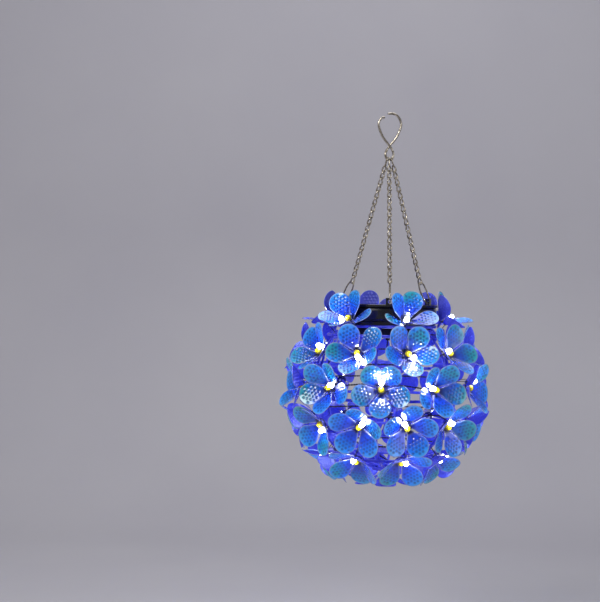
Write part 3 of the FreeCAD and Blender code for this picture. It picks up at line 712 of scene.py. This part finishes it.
def add_petal(pile, flower, turn, tilt, tone):
    top, normal = bend(BLANK, DIMPLE, tilt, SPOON)
    under = top - normal * SHEET
    place = petal_axes(flower, turn)
    centre = np.array(BALL + flower.out * flower.radius)
    points = np.concatenate([top, under]) @ place + centre
    count = len(BLANK)
    faces = list(blank_faces)
    faces += [tuple(i + count for i in face[::-1]) for face in blank_faces]
    faces += [(b, a, a + count, b + count) for a, b in rim_edges]
    along = np.tile((BLANK[:, 1] - PETAL_ROOT) / (PETAL_LENGTH - PETAL_ROOT), 2)
    rim = np.tile(np.clip(1 - TO_EDGE / PLAIN_RIM, 0, 1), 2)
    front = np.concatenate([np.ones(count), np.zeros(count)])
    pile.add(points.tolist(), faces, along=along.tolist(), rim=rim.tolist(),
             dimple=np.tile(DIMPLE, 2).tolist(), front=front.tolist(), tone=tone)


for flower in flowers:
    pile = Pile("along", "rim", "dimple", "front", "tone")
    centre = BALL + flower.out * flower.radius
    pile.add(*lathe(HUB_PROFILE, centre, flower.out, flower.east, HUB_SIDES),
             along=0.12, front=1.0)
    for k, tilt in enumerate(flower.tilts):
        tone = chance.choice((0.0, 0.15, 0.5, 1.0, 1.0))
        add_petal(pile, flower, flower.turn + k * PETAL_STEP, tilt, tone)
    grouped = flower.row in ("bottom", "pole")
    node_name = "flowers_bottom" if grouped else flower.name
    pile.piece("enamel_" + flower.name, PETAL, "flower_ball", "petal_enamel", [node_name])

# %% [markdown]
# ## Beads and lamps
#
# The bead is a painted ball on a shank, turned with a small collar where it
# meets the hub. The lamp beside it is a clear round-nosed LED with its flange.
# Both are turned shapes, and a lamp stands just high enough to clear the petals
# on each side of its gap.

# %% Shape the beads and lamps
BEAD_RADIUS = 3.0 * MM
LED_RADIUS = 2.3 * MM
LED_LENGTH = 5.4 * MM
LED_OFFSET = 6.5 * MM
LED_CLEAR = 0.5 * MM
LED_RISE = 0.8
LATHE_SIDES = 20


def bead_profile():
    profile = [(0.8 * MM, -3.2 * MM), (0.8 * MM, 1.4 * MM), (1.7 * MM, 1.5 * MM),
               (1.9 * MM, 1.8 * MM), (1.5 * MM, 2.1 * MM)]
    for i in range(3, 17):
        a = math.pi * i / 17
        profile.append((BEAD_RADIUS * math.sin(a), 0.8 * MM + BEAD_RADIUS * (1 - math.cos(a))))
    return profile


def lamp_profile():
    profile = [(LED_RADIUS * 0.9, 0.0), (LED_RADIUS * 1.12, 0.1 * MM),
               (LED_RADIUS * 1.12, 0.8 * MM), (LED_RADIUS, 0.9 * MM)]
    straight = LED_LENGTH - LED_RADIUS
    for i in range(8):
        a = math.pi / 2 * i / 8
        profile.append((LED_RADIUS * math.cos(a), straight + LED_RADIUS * math.sin(a)))
    return profile


def lamp_base(flower):
    """Where a lamp's flange stands, clear of the petals on both sides of its gap."""
    steepest = 0
    for k, tilt in enumerate(flower.tilts):
        away = (flower.turn + k * PETAL_STEP - flower.lamp_turn + 180) % 360 - 180
        if abs(away) < PETAL_STEP:
            steepest = max(steepest, tilt)
    rise = (LED_OFFSET + LED_RADIUS - PETAL_ROOT) * math.tan(math.radians(steepest))
    height = HUB_THICK + SHEET + rise * LED_RISE + LED_CLEAR
    return flower.spot(flower.lamp_turn, LED_OFFSET, height)


heights = [(lamp_base(f) - BALL).dot(f.out) - f.radius for f in flowers]
print("lamps stand", round(min(heights) / MM, 1), "to", round(max(heights) / MM, 1), "mm up")

# %% [markdown]
# ## Lit lamps
#
# A lit dome is the brightest thing on the object. It glows white where it faces
# the eye and bluer at its sides, and a small light just above it throws the glow
# on to the petals. One glowing mesh alone would do the same, but its light would
# be grainy. The lights are children of the lamps, so they swing with the ball.

# %% Make and light the lamps
LIGHT_POWER = 0.018
INSIDE_POWER = 0.12
LIGHT_ABOVE = 1.2 * MM
LIGHT_SIZE = 1.0 * MM
INSIDE_SIZE = 25 * MM


def led_material():
    material, tree, shader = new_material("Lit lamp dome", Roughness=0.08)
    shader.inputs["Emission Strength"].default_value = 14.0
    facing = node(tree, "ShaderNodeLayerWeight")
    facing.inputs["Blend"].default_value = 0.35
    glow = ramp(tree, facing.outputs["Facing"],
                [(0.0, (1.0, 1.0, 1.0)), (0.55, (0.80, 0.88, 1.0)), (1.0, (0.35, 0.5, 1.0))])
    tree.links.new(glow, shader.inputs["Emission Color"])
    height = attribute(tree, "height")
    tint = mix_colours(tree, height, (0.75, 0.8, 0.9), (1.0, 1.0, 1.0))
    tree.links.new(tint, shader.inputs["Base Color"])
    return material


beads, lamps = Pile(), Pile("height")
bead_shape, lamp_shape = bead_profile(), lamp_profile()
for flower in flowers:
    centre = BALL + flower.out * flower.radius
    beads.add(*lathe(bead_shape, centre, flower.out, flower.east, LATHE_SIDES))
    heights = [h / LED_LENGTH for _, h in lamp_shape for _ in range(LATHE_SIDES)]
    lamps.add(*lathe(lamp_shape, lamp_base(flower), flower.out, flower.east, LATHE_SIDES),
              height=heights)
beads.piece("beads", BEAD, "flower_ball", "pistil_yellow", ["pistils"])
lamp_piece = lamps.piece("lamps", led_material(), "flower_ball", "led_glow", ["led_lamps"])


def lamp_glow(name, place, power, colour, size):
    bulb = bpy.data.lights.new("glow_" + name, "POINT")
    bulb.energy, bulb.color, bulb.shadow_soft_size = power, colour, size
    shine = bpy.data.objects.new(bulb.name, bulb)
    shine.location = place
    bpy.context.scene.collection.objects.link(shine)
    shine.parent = lamp_piece


for flower in flowers:
    above = lamp_base(flower) + flower.out * (LED_LENGTH + LIGHT_ABOVE)
    lamp_glow(flower.name, above, LIGHT_POWER, (0.86, 0.92, 1.0), LIGHT_SIZE)
# what the lamps' backs send inwards is scattered light, so one soft source gives it
lamp_glow("inside", BALL, INSIDE_POWER, (0.45, 0.55, 1.0), INSIDE_SIZE)
print(len(flowers), "lamps lit")

# %% [markdown]
# ## The wire ball
#
# Rings and ribs are bent from rod and spot-welded. A smooth tube for each is
# enough, with a small flattened bead of weld where a rib crosses a ring. Each
# flower stands on a short stem that is bent out from the ring below it.

# %% Where the wires run
RIB_WIRE = 2.4 * MM
STEM_WIRE = 2.4 * MM
WELD_SINK = 0.05 * MM       # the ribs lie this far into the rings they are welded to
RIB_SPHERE = WIRE_SPHERE - RING_WIRE / 2 - RIB_WIRE / 2 + WELD_SINK
RIB_AZIMUTHS = [49.0 + 60.0 * i for i in range(6)]
RIB_ENDS = (-83.5, 54.0)
RIB_STEPS = 48
RING_STEPS = 120
FOOT_SINK = 0.4 * MM
KNEE_OUT = 0.3 * MM
RING_LATS = [lat + RING_BELOW if row == "pole" else lat - RING_BELOW for row, lat, *_ in ROWS]


def ring_path(lat):
    azimuths = [360 * i / RING_STEPS for i in range(RING_STEPS)]
    return [BALL + out_dir(lat, az) * WIRE_SPHERE for az in azimuths]


def rib_path(az):
    low, high = RIB_ENDS
    lats = [low + (high - low) * i / RIB_STEPS for i in range(RIB_STEPS + 1)]
    return [BALL + out_dir(lat, az) * RIB_SPHERE for lat in lats]


def stem_path(flower):
    """From the ring beside the flower, out round a knee and up to its hub."""
    down = -1 if flower.row == "pole" else 1
    foot_out = out_dir(flower.lat - RING_BELOW * down, flower.az)
    along = foot_out.cross(east_dir(flower.az)) * down
    foot = BALL + foot_out * WIRE_SPHERE + along * (RING_WIRE / 2 - FOOT_SINK)
    knee = BALL + flower.out * (WIRE_SPHERE + KNEE_OUT)
    top = BALL + flower.out * flower.radius
    return smooth_path([foot, foot.lerp(knee, 0.6), knee.lerp(top, 0.35), top], 6)


def weld(pile, lat, az):
    """Flattened bead of weld where a rib crosses a ring."""
    middle = BALL + out_dir(lat, az) * (WIRE_SPHERE - RING_WIRE / 2)
    out = out_dir(lat, az)
    blob = [(0.2 * MM, -1.1 * MM), (1.3 * MM, -0.8 * MM), (1.9 * MM, 0.0),
            (1.3 * MM, 0.8 * MM), (0.2 * MM, 1.1 * MM)]
    pile.add(*lathe(blob, middle, out, east_dir(az), 12))


print("rings at", [round(lat, 1) for lat in RING_LATS])

# %% Rings, ribs and stems
rings, ribs, stems, collar = Pile(), Pile(), Pile(), Pile()
for lat in RING_LATS:
    rings.add(*tube(ring_path(lat), RING_WIRE / 2, 14, closed=True))
    for az in RIB_AZIMUTHS:
        weld(rings, lat, az)
collar_lat = math.degrees(math.asin(COLLAR_HEIGHT / WIRE_SPHERE))
collar.add(*tube(ring_path(collar_lat), RING_WIRE / 2, 14, closed=True))
for az in RIB_AZIMUTHS:
    ribs.add(*tube(rib_path(az), RIB_WIRE / 2, 12))
for flower in flowers:
    stems.add(*tube(stem_path(flower), STEM_WIRE / 2, 10))
rings.piece("ball_rings", FRAME_BLUE, "flower_ball", "frame_enamel", ["frame_rings"])
ribs.piece("ball_ribs", FRAME_BLUE, "flower_ball", "frame_enamel", ["frame_ribs"])
collar.piece("collar", FRAME_BLUE, "flower_ball", "frame_enamel", ["collar_ring"])
stems.piece("stems", FRAME_BLUE, "flower_ball", "frame_enamel", ["flower_stems"])

# %% [markdown]
# ## The lamp string
#
# The lamps hang on thin twin wire that runs from one to the next inside the
# ball. A single tube would be simpler, but two strands wound round one line show
# at once what it is. Each lamp's two legs run straight in to the string.

# %% Twin wire
STRAND = 0.42 * MM
STRAND_TWIST = 5.0 * MM
STRING_SPHERE = 71.4 * MM
STRING_STEP = 0.9 * MM
LEAD_INSET = 1.5 * MM
LEG_WIRE = 0.6 * MM
LEG_APART = 1.0 * MM
OFF_AXIS = Vector((0.31, 0.27, 0.91))       # no wire of the string runs this way


def twin_wire(pile, path):
    """Two strands wound round the path."""
    gone = 0.0
    lines = ([], [])
    for i, p in enumerate(path):
        if i:
            gone += (p - path[i - 1]).length
        ahead = (path[min(i + 1, len(path) - 1)] - path[max(i - 1, 0)]).normalized()
        side = ahead.cross(OFF_AXIS).normalized()
        up = ahead.cross(side)
        a = 2 * math.pi * gone / STRAND_TWIST
        wide = (side * math.cos(a) + up * math.sin(a)) * STRAND
        lines[0].append(p + wide)
        lines[1].append(p - wide)
    for line in lines:
        pile.add(*tube(line, STRAND * 0.95, 6))


def lamp_foot(flower, inset=0.0):
    """Where a lamp's legs reach the string, or a point further in by the inset."""
    return flower.spot(flower.lamp_turn, LED_OFFSET, STRING_SPHERE - inset - flower.radius)


def finely(start, end):
    count = max(2, round((end - start).length / STRING_STEP))
    return [start.lerp(end, i / count) for i in range(count + 1)]


def nearest(point, others):
    return min(others, key=lambda p: (p - point).length)


legs = [(lamp_base(f) - lamp_foot(f)).length for f in flowers]
print("lamp legs", round(min(legs) / MM, 1), "to", round(max(legs) / MM, 1), "mm long")

# %% String the lamps
string = Pile()
by_row = {}
for flower in flowers:
    by_row.setdefault(flower.row, []).append(flower)
    foot = lamp_foot(flower)
    for shift in (-LEG_APART / 2, LEG_APART / 2):
        aside = flower.east * shift
        string.add(*tube([foot + aside, lamp_base(flower) + aside], LEG_WIRE / 2, 6))
for members in by_row.values():
    if len(members) > 1:
        feet = [lamp_foot(f) for f in members]
        for here, there in zip(feet, feet[1:]):
            twin_wire(string, finely(here, there))
for above, below in zip(ROWS, ROWS[1:]):
    start = lamp_foot(by_row[above[0]][0], LEAD_INSET)
    ends = [lamp_foot(f, LEAD_INSET) for f in by_row[below[0]]]
    twin_wire(string, finely(start, nearest(start, ends)))
string.piece("lamp_string", LEAD_BLACK, "flower_ball", "black_wire", ["led_string"])

# %% [markdown]
# ## The lead from the box
#
# The lead belongs to two bodies: its upper end stays with the battery box and its lower end goes with
# the ball. Riding on either would tear it off the other, so it is given no body and stays where it is
# made.

# %% Lead
EXIT = Vector((0, -22 * MM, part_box("led_lead")[1].z))
LEAD_FALL = 16 * MM
lead_end = nearest(EXIT, [lamp_foot(f, LEAD_INSET) for f in by_row["upper"]])
fall = [EXIT, EXIT + Vector((0, -1 * MM, -9 * MM)),
        Vector((lead_end.x * 0.45, (EXIT.y + lead_end.y) / 2, EXIT.z - LEAD_FALL)), lead_end]
lead = Pile()
twin_wire(lead, smooth_path(fall, 16))
lead_piece = lead.piece("box_lead", LEAD_BLACK, None, "black_wire", ["led_lead"])
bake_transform(lead_piece)

# %% [markdown]
# ## Hook
#
# The hook is one wire in a figure 8 that crosses itself, with its mouth at the
# upper left. A curve through a short list of corners gives the springy bends of
# hand-bent wire, which straight runs and arcs would lose.

# %% Hook
HOOK_WIRE = 2.2 * MM
hook_low, hook_high = [Vector(corner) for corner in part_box("hook")]
LOOP_TOP = hook_high.z - HOOK_WIRE / 2
EYE_BOTTOM = hook_low.z + HOOK_WIRE / 2
EYE_HALF = 3.9 * MM
LOOP_HALF = 10.6 * MM


def hook_path():
    crossing = EYE_BOTTOM + 13.3 * MM
    widest = LOOP_TOP - 13.5 * MM
    step = 1.25 * MM            # each strand passes this far in front or behind
    corners = [(-5.2 * MM, 0, LOOP_TOP - 3.6 * MM), (-8.2 * MM, 0, LOOP_TOP - 4.4 * MM),
               (-LOOP_HALF, 0, LOOP_TOP - 8.5 * MM), (-LOOP_HALF * 0.97, 0, widest),
               (-LOOP_HALF * 0.62, -step * 0.5, widest - 9 * MM), (0, -step, crossing),
               (EYE_HALF * 0.8, -step * 0.4, crossing - 5 * MM),
               (EYE_HALF, 0, EYE_BOTTOM + 4.6 * MM), (EYE_HALF * 0.62, 0, EYE_BOTTOM + 0.8 * MM),
               (0, 0, EYE_BOTTOM), (-EYE_HALF * 0.62, 0, EYE_BOTTOM + 0.8 * MM),
               (-EYE_HALF, 0, EYE_BOTTOM + 4.6 * MM), (-EYE_HALF * 0.8, step * 0.4, crossing - 5 * MM),
               (0, step, crossing), (LOOP_HALF * 0.62, step * 0.5, widest - 9 * MM),
               (LOOP_HALF * 0.97, 0, widest), (LOOP_HALF, 0, LOOP_TOP - 8.5 * MM),
               (LOOP_HALF * 0.72, 0, LOOP_TOP - 2.6 * MM), (3.0 * MM, 0, LOOP_TOP),
               (-2.0 * MM, 0, LOOP_TOP - 0.2 * MM)]
    return smooth_path([Vector(c) for c in corners], 8)


hook = Pile()
hook.add(*tube(hook_path(), HOOK_WIRE / 2, 16))
hook.piece("hook_wire", STEEL, "hook", "wire_steel", ["hook"])

# %% [markdown]
# ## Chains and hangers
#
# The chain is curb chain: each link is an oval turned a quarter between its two
# ends, so that all the links lie alike. Winding an oval's points about the
# chain's line, in step with their height, makes that shape exactly. A row of
# flat ovals, each turned a quarter on the last, would be another kind of chain.

# %% Link and hanger sizes
LINK_WIRE = 1.4 * MM
LINK_WIDE = 5.4 * MM
LINKS = 18
END_LINK_WIDE = 6.4 * MM
END_LINK_PITCH = 9.0 * MM
END_PLAY = 1.1 * MM
LINK_PLAY = 0.12 * MM
HANG_PLAY = 0.3 * MM
EYE_SPREAD = 2.3 * MM
EYE_RISE = 0.45 * MM
HANGER_WIRE = 1.5 * MM
HANGER_WIDE = 6.8 * MM
HANGER_TOP_R = 38.0 * MM
HANGER_FOOT_R = 47.9 * MM
hanger_low, hanger_high = [Vector(corner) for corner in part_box("hangers")]
print("hangers from", round(hanger_low.z, 4), "to", round(hanger_high.z, 4))


# %% Link shapes
def oval(half_wide, half_long, winding, steps=32):
    """Closed oval about its own Z, wound by some degrees from bottom to top."""
    path = []
    for i in range(steps):
        t = 2 * math.pi * i / steps
        x = half_wide * math.copysign(abs(math.cos(t)) ** 0.7, math.cos(t))
        z = half_long * math.copysign(abs(math.sin(t)) ** 0.9, math.sin(t))
        a = math.radians(winding / 2) * z / half_long
        path.append(Vector((x * math.cos(a), x * math.sin(a), z)))
    return path


def put_link(pile, path, wire, top, bottom, normal):
    """Stand an oval between two points, its width square to normal."""
    up = (top - bottom).normalized()
    face = (normal - up * normal.dot(up)).normalized()
    wide = face.cross(up)
    middle = (top + bottom) / 2
    placed = [middle + wide * p.x + face * p.y + up * p.z for p in path]
    pile.add(*tube(placed, wire / 2, 10, closed=True))


def hanger_ends(az):
    half = HANGER_WIRE / 2
    top = out_dir(0, az) * HANGER_TOP_R + Vector((0, 0, hanger_high.z - half))
    foot = out_dir(0, az) * HANGER_FOOT_R + Vector((0, 0, hanger_low.z + half))
    return foot, top


foot, hang = hanger_ends(0)
print("hangers", round((hang - foot).length / MM, 1), "mm between the middles of their ends")

# %% Hang the chains
end_links, hangers = Pile(), Pile()
for name, az, side in (("front", 0, 0), ("right", 120, 1), ("left", 240, -1)):
    foot, hang = hanger_ends(az)
    wire = Vector((side * EYE_SPREAD, 0, EYE_BOTTOM + abs(side) * EYE_RISE))
    run = (hang - wire).normalized()
    top = wire - run * (HOOK_WIRE / 2 + LINK_WIRE / 2 + HANG_PLAY)
    bottom = top + run * END_LINK_PITCH
    half_wide = (END_LINK_WIDE - LINK_WIRE) / 2
    put_link(end_links, oval(half_wide, END_LINK_PITCH / 2, 0), LINK_WIRE, top, bottom,
             Vector((1, 0, 0)))
    start = bottom - run * (LINK_WIRE + END_PLAY)
    finish = hang + run * (HANGER_WIRE / 2 + LINK_WIRE / 2 + HANG_PLAY)
    pitch = ((finish - start).length - LINK_WIRE - LINK_PLAY) / LINKS
    run = (finish - start).normalized()
    first = Vector((1, 0, 0))
    first = (first - run * first.dot(run)).normalized()
    aside = run.cross(first)
    # half a quarter turn: each link's upper bend lies square to the bend it hangs in
    normal = (first + aside).normalized()
    chain = Pile()
    link_long = pitch + LINK_WIRE + LINK_PLAY
    shape = oval((LINK_WIDE - LINK_WIRE) / 2, link_long / 2, 90)
    for k in range(LINKS):
        link_top = start + run * (pitch * k)
        put_link(chain, shape, LINK_WIRE, link_top, link_top + run * link_long, normal)
    chain.piece("curb_chain_" + name, STEEL, "solar_unit", "wire_steel", ["chain_" + name])
    half = (hang - foot).length / 2
    put_link(hangers, oval(HANGER_WIDE / 2, half, 0, 48), HANGER_WIRE, hang, foot, east_dir(az))
end_links.piece("first_links", STEEL, "end_links", "wire_steel", ["end_links"])
hangers.piece("hanger_loops", STEEL, "solar_unit", "wire_steel", ["hangers"])

# %% [markdown]
# ## The solar unit
#
# The lid, box, door, switch, battery, board and screws have the right shape in
# the engineering model. They could be drawn again, but nothing would be gained,
# so they stay and only get their finishes.

# %% Finishes for the engineering pieces
FINISHES = {
    "solar_housing": LID_BLACK, "battery_box": BOX_BLACK, "battery_door": BOX_BLACK,
    "power_switch": BOX_BLACK, "battery": SLEEVE, "screws": SCREW_STEEL,
    "circuit_board": BOARD,
}
for name, finish in FINISHES.items():
    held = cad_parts[name]
    for held_slot in held.material_slots:
        held_slot.link = "OBJECT"
        held_slot.material = finish
print("finished", ", ".join(FINISHES))

# %% [markdown]
# ## Solar cell
#
# The cell is made in layers: dark blue wafers with fine silver lines, under a
# clear resin that shines. The lines could be drawn in the material, but as thin
# strips laid on thin tiles they stay sharp from near by. A mark on each point
# tells the one material what is wafer and what is silver.

# %% Solar cell
cell_low, cell_high = [Vector(corner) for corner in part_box("solar_cell")]
CELL_RADIUS = (cell_high.x - cell_low.x) / 2
print("cell radius", round(CELL_RADIUS / MM, 1), "mm")
WAFERS = 4
WAFER_WIDE = 13.0 * MM
WAFER_PITCH = 13.6 * MM
WAFER_HALF = 27 * MM
WAFER_THICK = 0.3 * MM
UNDER_RIM = 0.35 * MM
LINES = 19
LINE_WIDE = 0.12 * MM
LINE_HIGH = 0.05 * MM
LINE_INSET = 0.5 * MM
LINES_HALF = 26 * MM
BAR_WIDE = 0.8 * MM
BAR_HIGH = 0.08 * MM
BAR_INSET = 0.4 * MM


def slab(pile, x0, x1, y0, y1, z0, z1, **marks):
    corners = [(x, y, z) for z in (z0, z1) for x, y in ((x0, y0), (x1, y0), (x1, y1), (x0, y1))]
    faces = [(3, 2, 1, 0), (4, 5, 6, 7), (0, 1, 5, 4), (1, 2, 6, 5), (2, 3, 7, 6), (3, 0, 4, 7)]
    pile.add(corners, faces, **marks)


def cell_material():
    material, tree, shader = new_material("Solar wafers under resin", Roughness=0.12,
                                          Coat_Weight=1.0, Coat_Roughness=0.03)
    part = attribute(tree, "part")
    sparkle = place_group(tree, PATCHES, Size=260.0, Spread=0.52, Sharpness=0.06, Bump=0.0)
    wafer = mix_colours(tree, sparkle.outputs["Mask"], (0.003, 0.010, 0.06), (0.008, 0.03, 0.15))
    lined = mix_colours(tree, part, wafer, (0.55, 0.57, 0.6))
    tree.links.new(lined, shader.inputs["Base Color"])
    return material


# %% Lay the wafers
cell = Pile("part")
middle = Vector((0, 0, cell_low.z))
high = cell_high.z - cell_low.z
cell.add(*lathe([(CELL_RADIUS - 0.3 * MM, 0.0), (CELL_RADIUS, 0.3 * MM),
                 (CELL_RADIUS, high - 0.9 * MM), (CELL_RADIUS - 0.5 * MM, high - 0.6 * MM)],
                middle, Vector((0, 0, 1)), Vector((1, 0, 0)), 72))
wafer_top = cell_high.z - UNDER_RIM
for i in range(WAFERS):
    x = WAFER_PITCH * i - WAFER_HALF
    slab(cell, x, x + WAFER_WIDE, -WAFER_HALF, WAFER_HALF, wafer_top - WAFER_THICK, wafer_top)
    for j in range(LINES):
        y = LINES_HALF * (2 * j / (LINES - 1) - 1)
        slab(cell, x + LINE_INSET, x + WAFER_WIDE - LINE_INSET, y, y + LINE_WIDE, wafer_top,
             wafer_top + LINE_HIGH, part=0.8)
    bar = x + (WAFER_WIDE - BAR_WIDE) / 2
    bar_half = WAFER_HALF - BAR_INSET
    slab(cell, bar, bar + BAR_WIDE, -bar_half, bar_half, wafer_top, wafer_top + BAR_HIGH,
         part=1.0)
cell.piece("solar_wafers", cell_material(), "solar_unit", "solar_glass", ["solar_cell"])

# %% [markdown]
# ## Studio
#
# A pale floor that sweeps up into a wall. A flat plane would show a hard line
# behind the ball, so the corner is a quarter round.

# %% Floor and wall
FLOOR_BELOW = 0.25          # under the ball's centre
FLOOR_AHEAD = 3.0
WALL_BEHIND = 1.1
WALL_HIGH = 3.5
HALF_WIDE = 4.0
SWEEP = 0.45
SWEEP_STEPS = 12


def backdrop():
    floor = BALL.z - FLOOR_BELOW
    profile = [(-FLOOR_AHEAD, floor), (WALL_BEHIND - SWEEP, floor)]
    for i in range(1, SWEEP_STEPS + 1):
        a = math.pi / 2 * i / SWEEP_STEPS
        profile.append((WALL_BEHIND - SWEEP + SWEEP * math.sin(a),
                        floor + SWEEP - SWEEP * math.cos(a)))
    profile.append((WALL_BEHIND, floor + WALL_HIGH))
    points, faces = [], []
    for y, z in profile:
        points += [(-HALF_WIDE, y, z), (HALF_WIDE, y, z)]
    for i in range(len(profile) - 1):
        faces.append((2 * i, 2 * i + 1, 2 * i + 3, 2 * i + 2))
    mesh = bpy.data.meshes.new("backdrop")
    mesh.from_pydata(points, [], faces)
    mesh.shade_smooth()
    material, tree, shader = new_material("Pale painted backdrop", Roughness=0.8)
    soft = place_group(tree, PATCHES, Size=3.0, Spread=0.5, Sharpness=0.3, Bump=0.0)
    colour = mix_colours(tree, soft.outputs["Mask"], (0.46, 0.45, 0.50), (0.50, 0.49, 0.53))
    tree.links.new(colour, shader.inputs["Base Color"])
    mesh.materials.append(material)
    made = bpy.data.objects.new("backdrop", mesh)
    bpy.context.scene.collection.objects.link(made)
    print("floor", round(FLOOR_BELOW, 3), "under the ball's centre")


backdrop()

# %% [markdown]
# ## Light
#
# One large soft light from the upper left, a weaker fill from the right, one
# from above and a pale grey surround. They are kept low, because the lamps have
# to read as lit.

# %% Lights
def soft_light(name, place, size, energy, colour):
    lamp = bpy.data.lights.new(name, "AREA")
    lamp.shape = "SQUARE"
    lamp.size = size
    lamp.energy = energy
    lamp.color = colour
    made = bpy.data.objects.new(name, lamp)
    made.location = place
    made.rotation_euler = (BALL - Vector(place)).to_track_quat("-Z", "Y").to_euler()
    bpy.context.scene.collection.objects.link(made)


soft_light("key", (-1.0, -1.3, 0.7), 0.9, 16.0, (1.0, 0.98, 0.95))
soft_light("fill", (1.3, -1.0, -0.1), 1.2, 6.0, (0.92, 0.95, 1.0))
soft_light("top", (0.1, 0.3, 1.0), 1.0, 9.0, (1.0, 1.0, 1.0))
world = bpy.data.worlds.new("pale surround")
world.use_nodes = True
world.node_tree.nodes["Background"].inputs["Color"].default_value = (0.62, 0.62, 0.68, 1.0)
world.node_tree.nodes["Background"].inputs["Strength"].default_value = 0.3
bpy.context.scene.world = world
print(len(bpy.data.lights), "lights")

# %% [markdown]
# ## Camera
#
# The camera is level, a step and a half in front of the ball, with a long lens,
# so that the ball keeps its round outline. The display colour stays plain: a
# filmic curve would bleach the saturated blues.

# %% Camera
CAMERA_FROM_BALL = Vector((-0.0837, -1.450, 0.0837))
LENS = 90.2
ROLL = 0.93
camera = bpy.data.objects.new("camera", bpy.data.cameras.new("camera"))
camera.data.lens = LENS
camera.data.sensor_width = 36.0
camera.data.clip_start = 0.01
camera.location = BALL + CAMERA_FROM_BALL
level = Matrix.Rotation(math.radians(90), 4, "X")
camera.rotation_euler = (level @ Matrix.Rotation(math.radians(ROLL), 4, "Z")).to_euler()
bpy.context.scene.collection.objects.link(camera)
bpy.context.scene.camera = camera
bpy.context.scene.view_settings.view_transform = "Standard"
print("camera", [round(v, 3) for v in camera.location])

# %% [markdown]
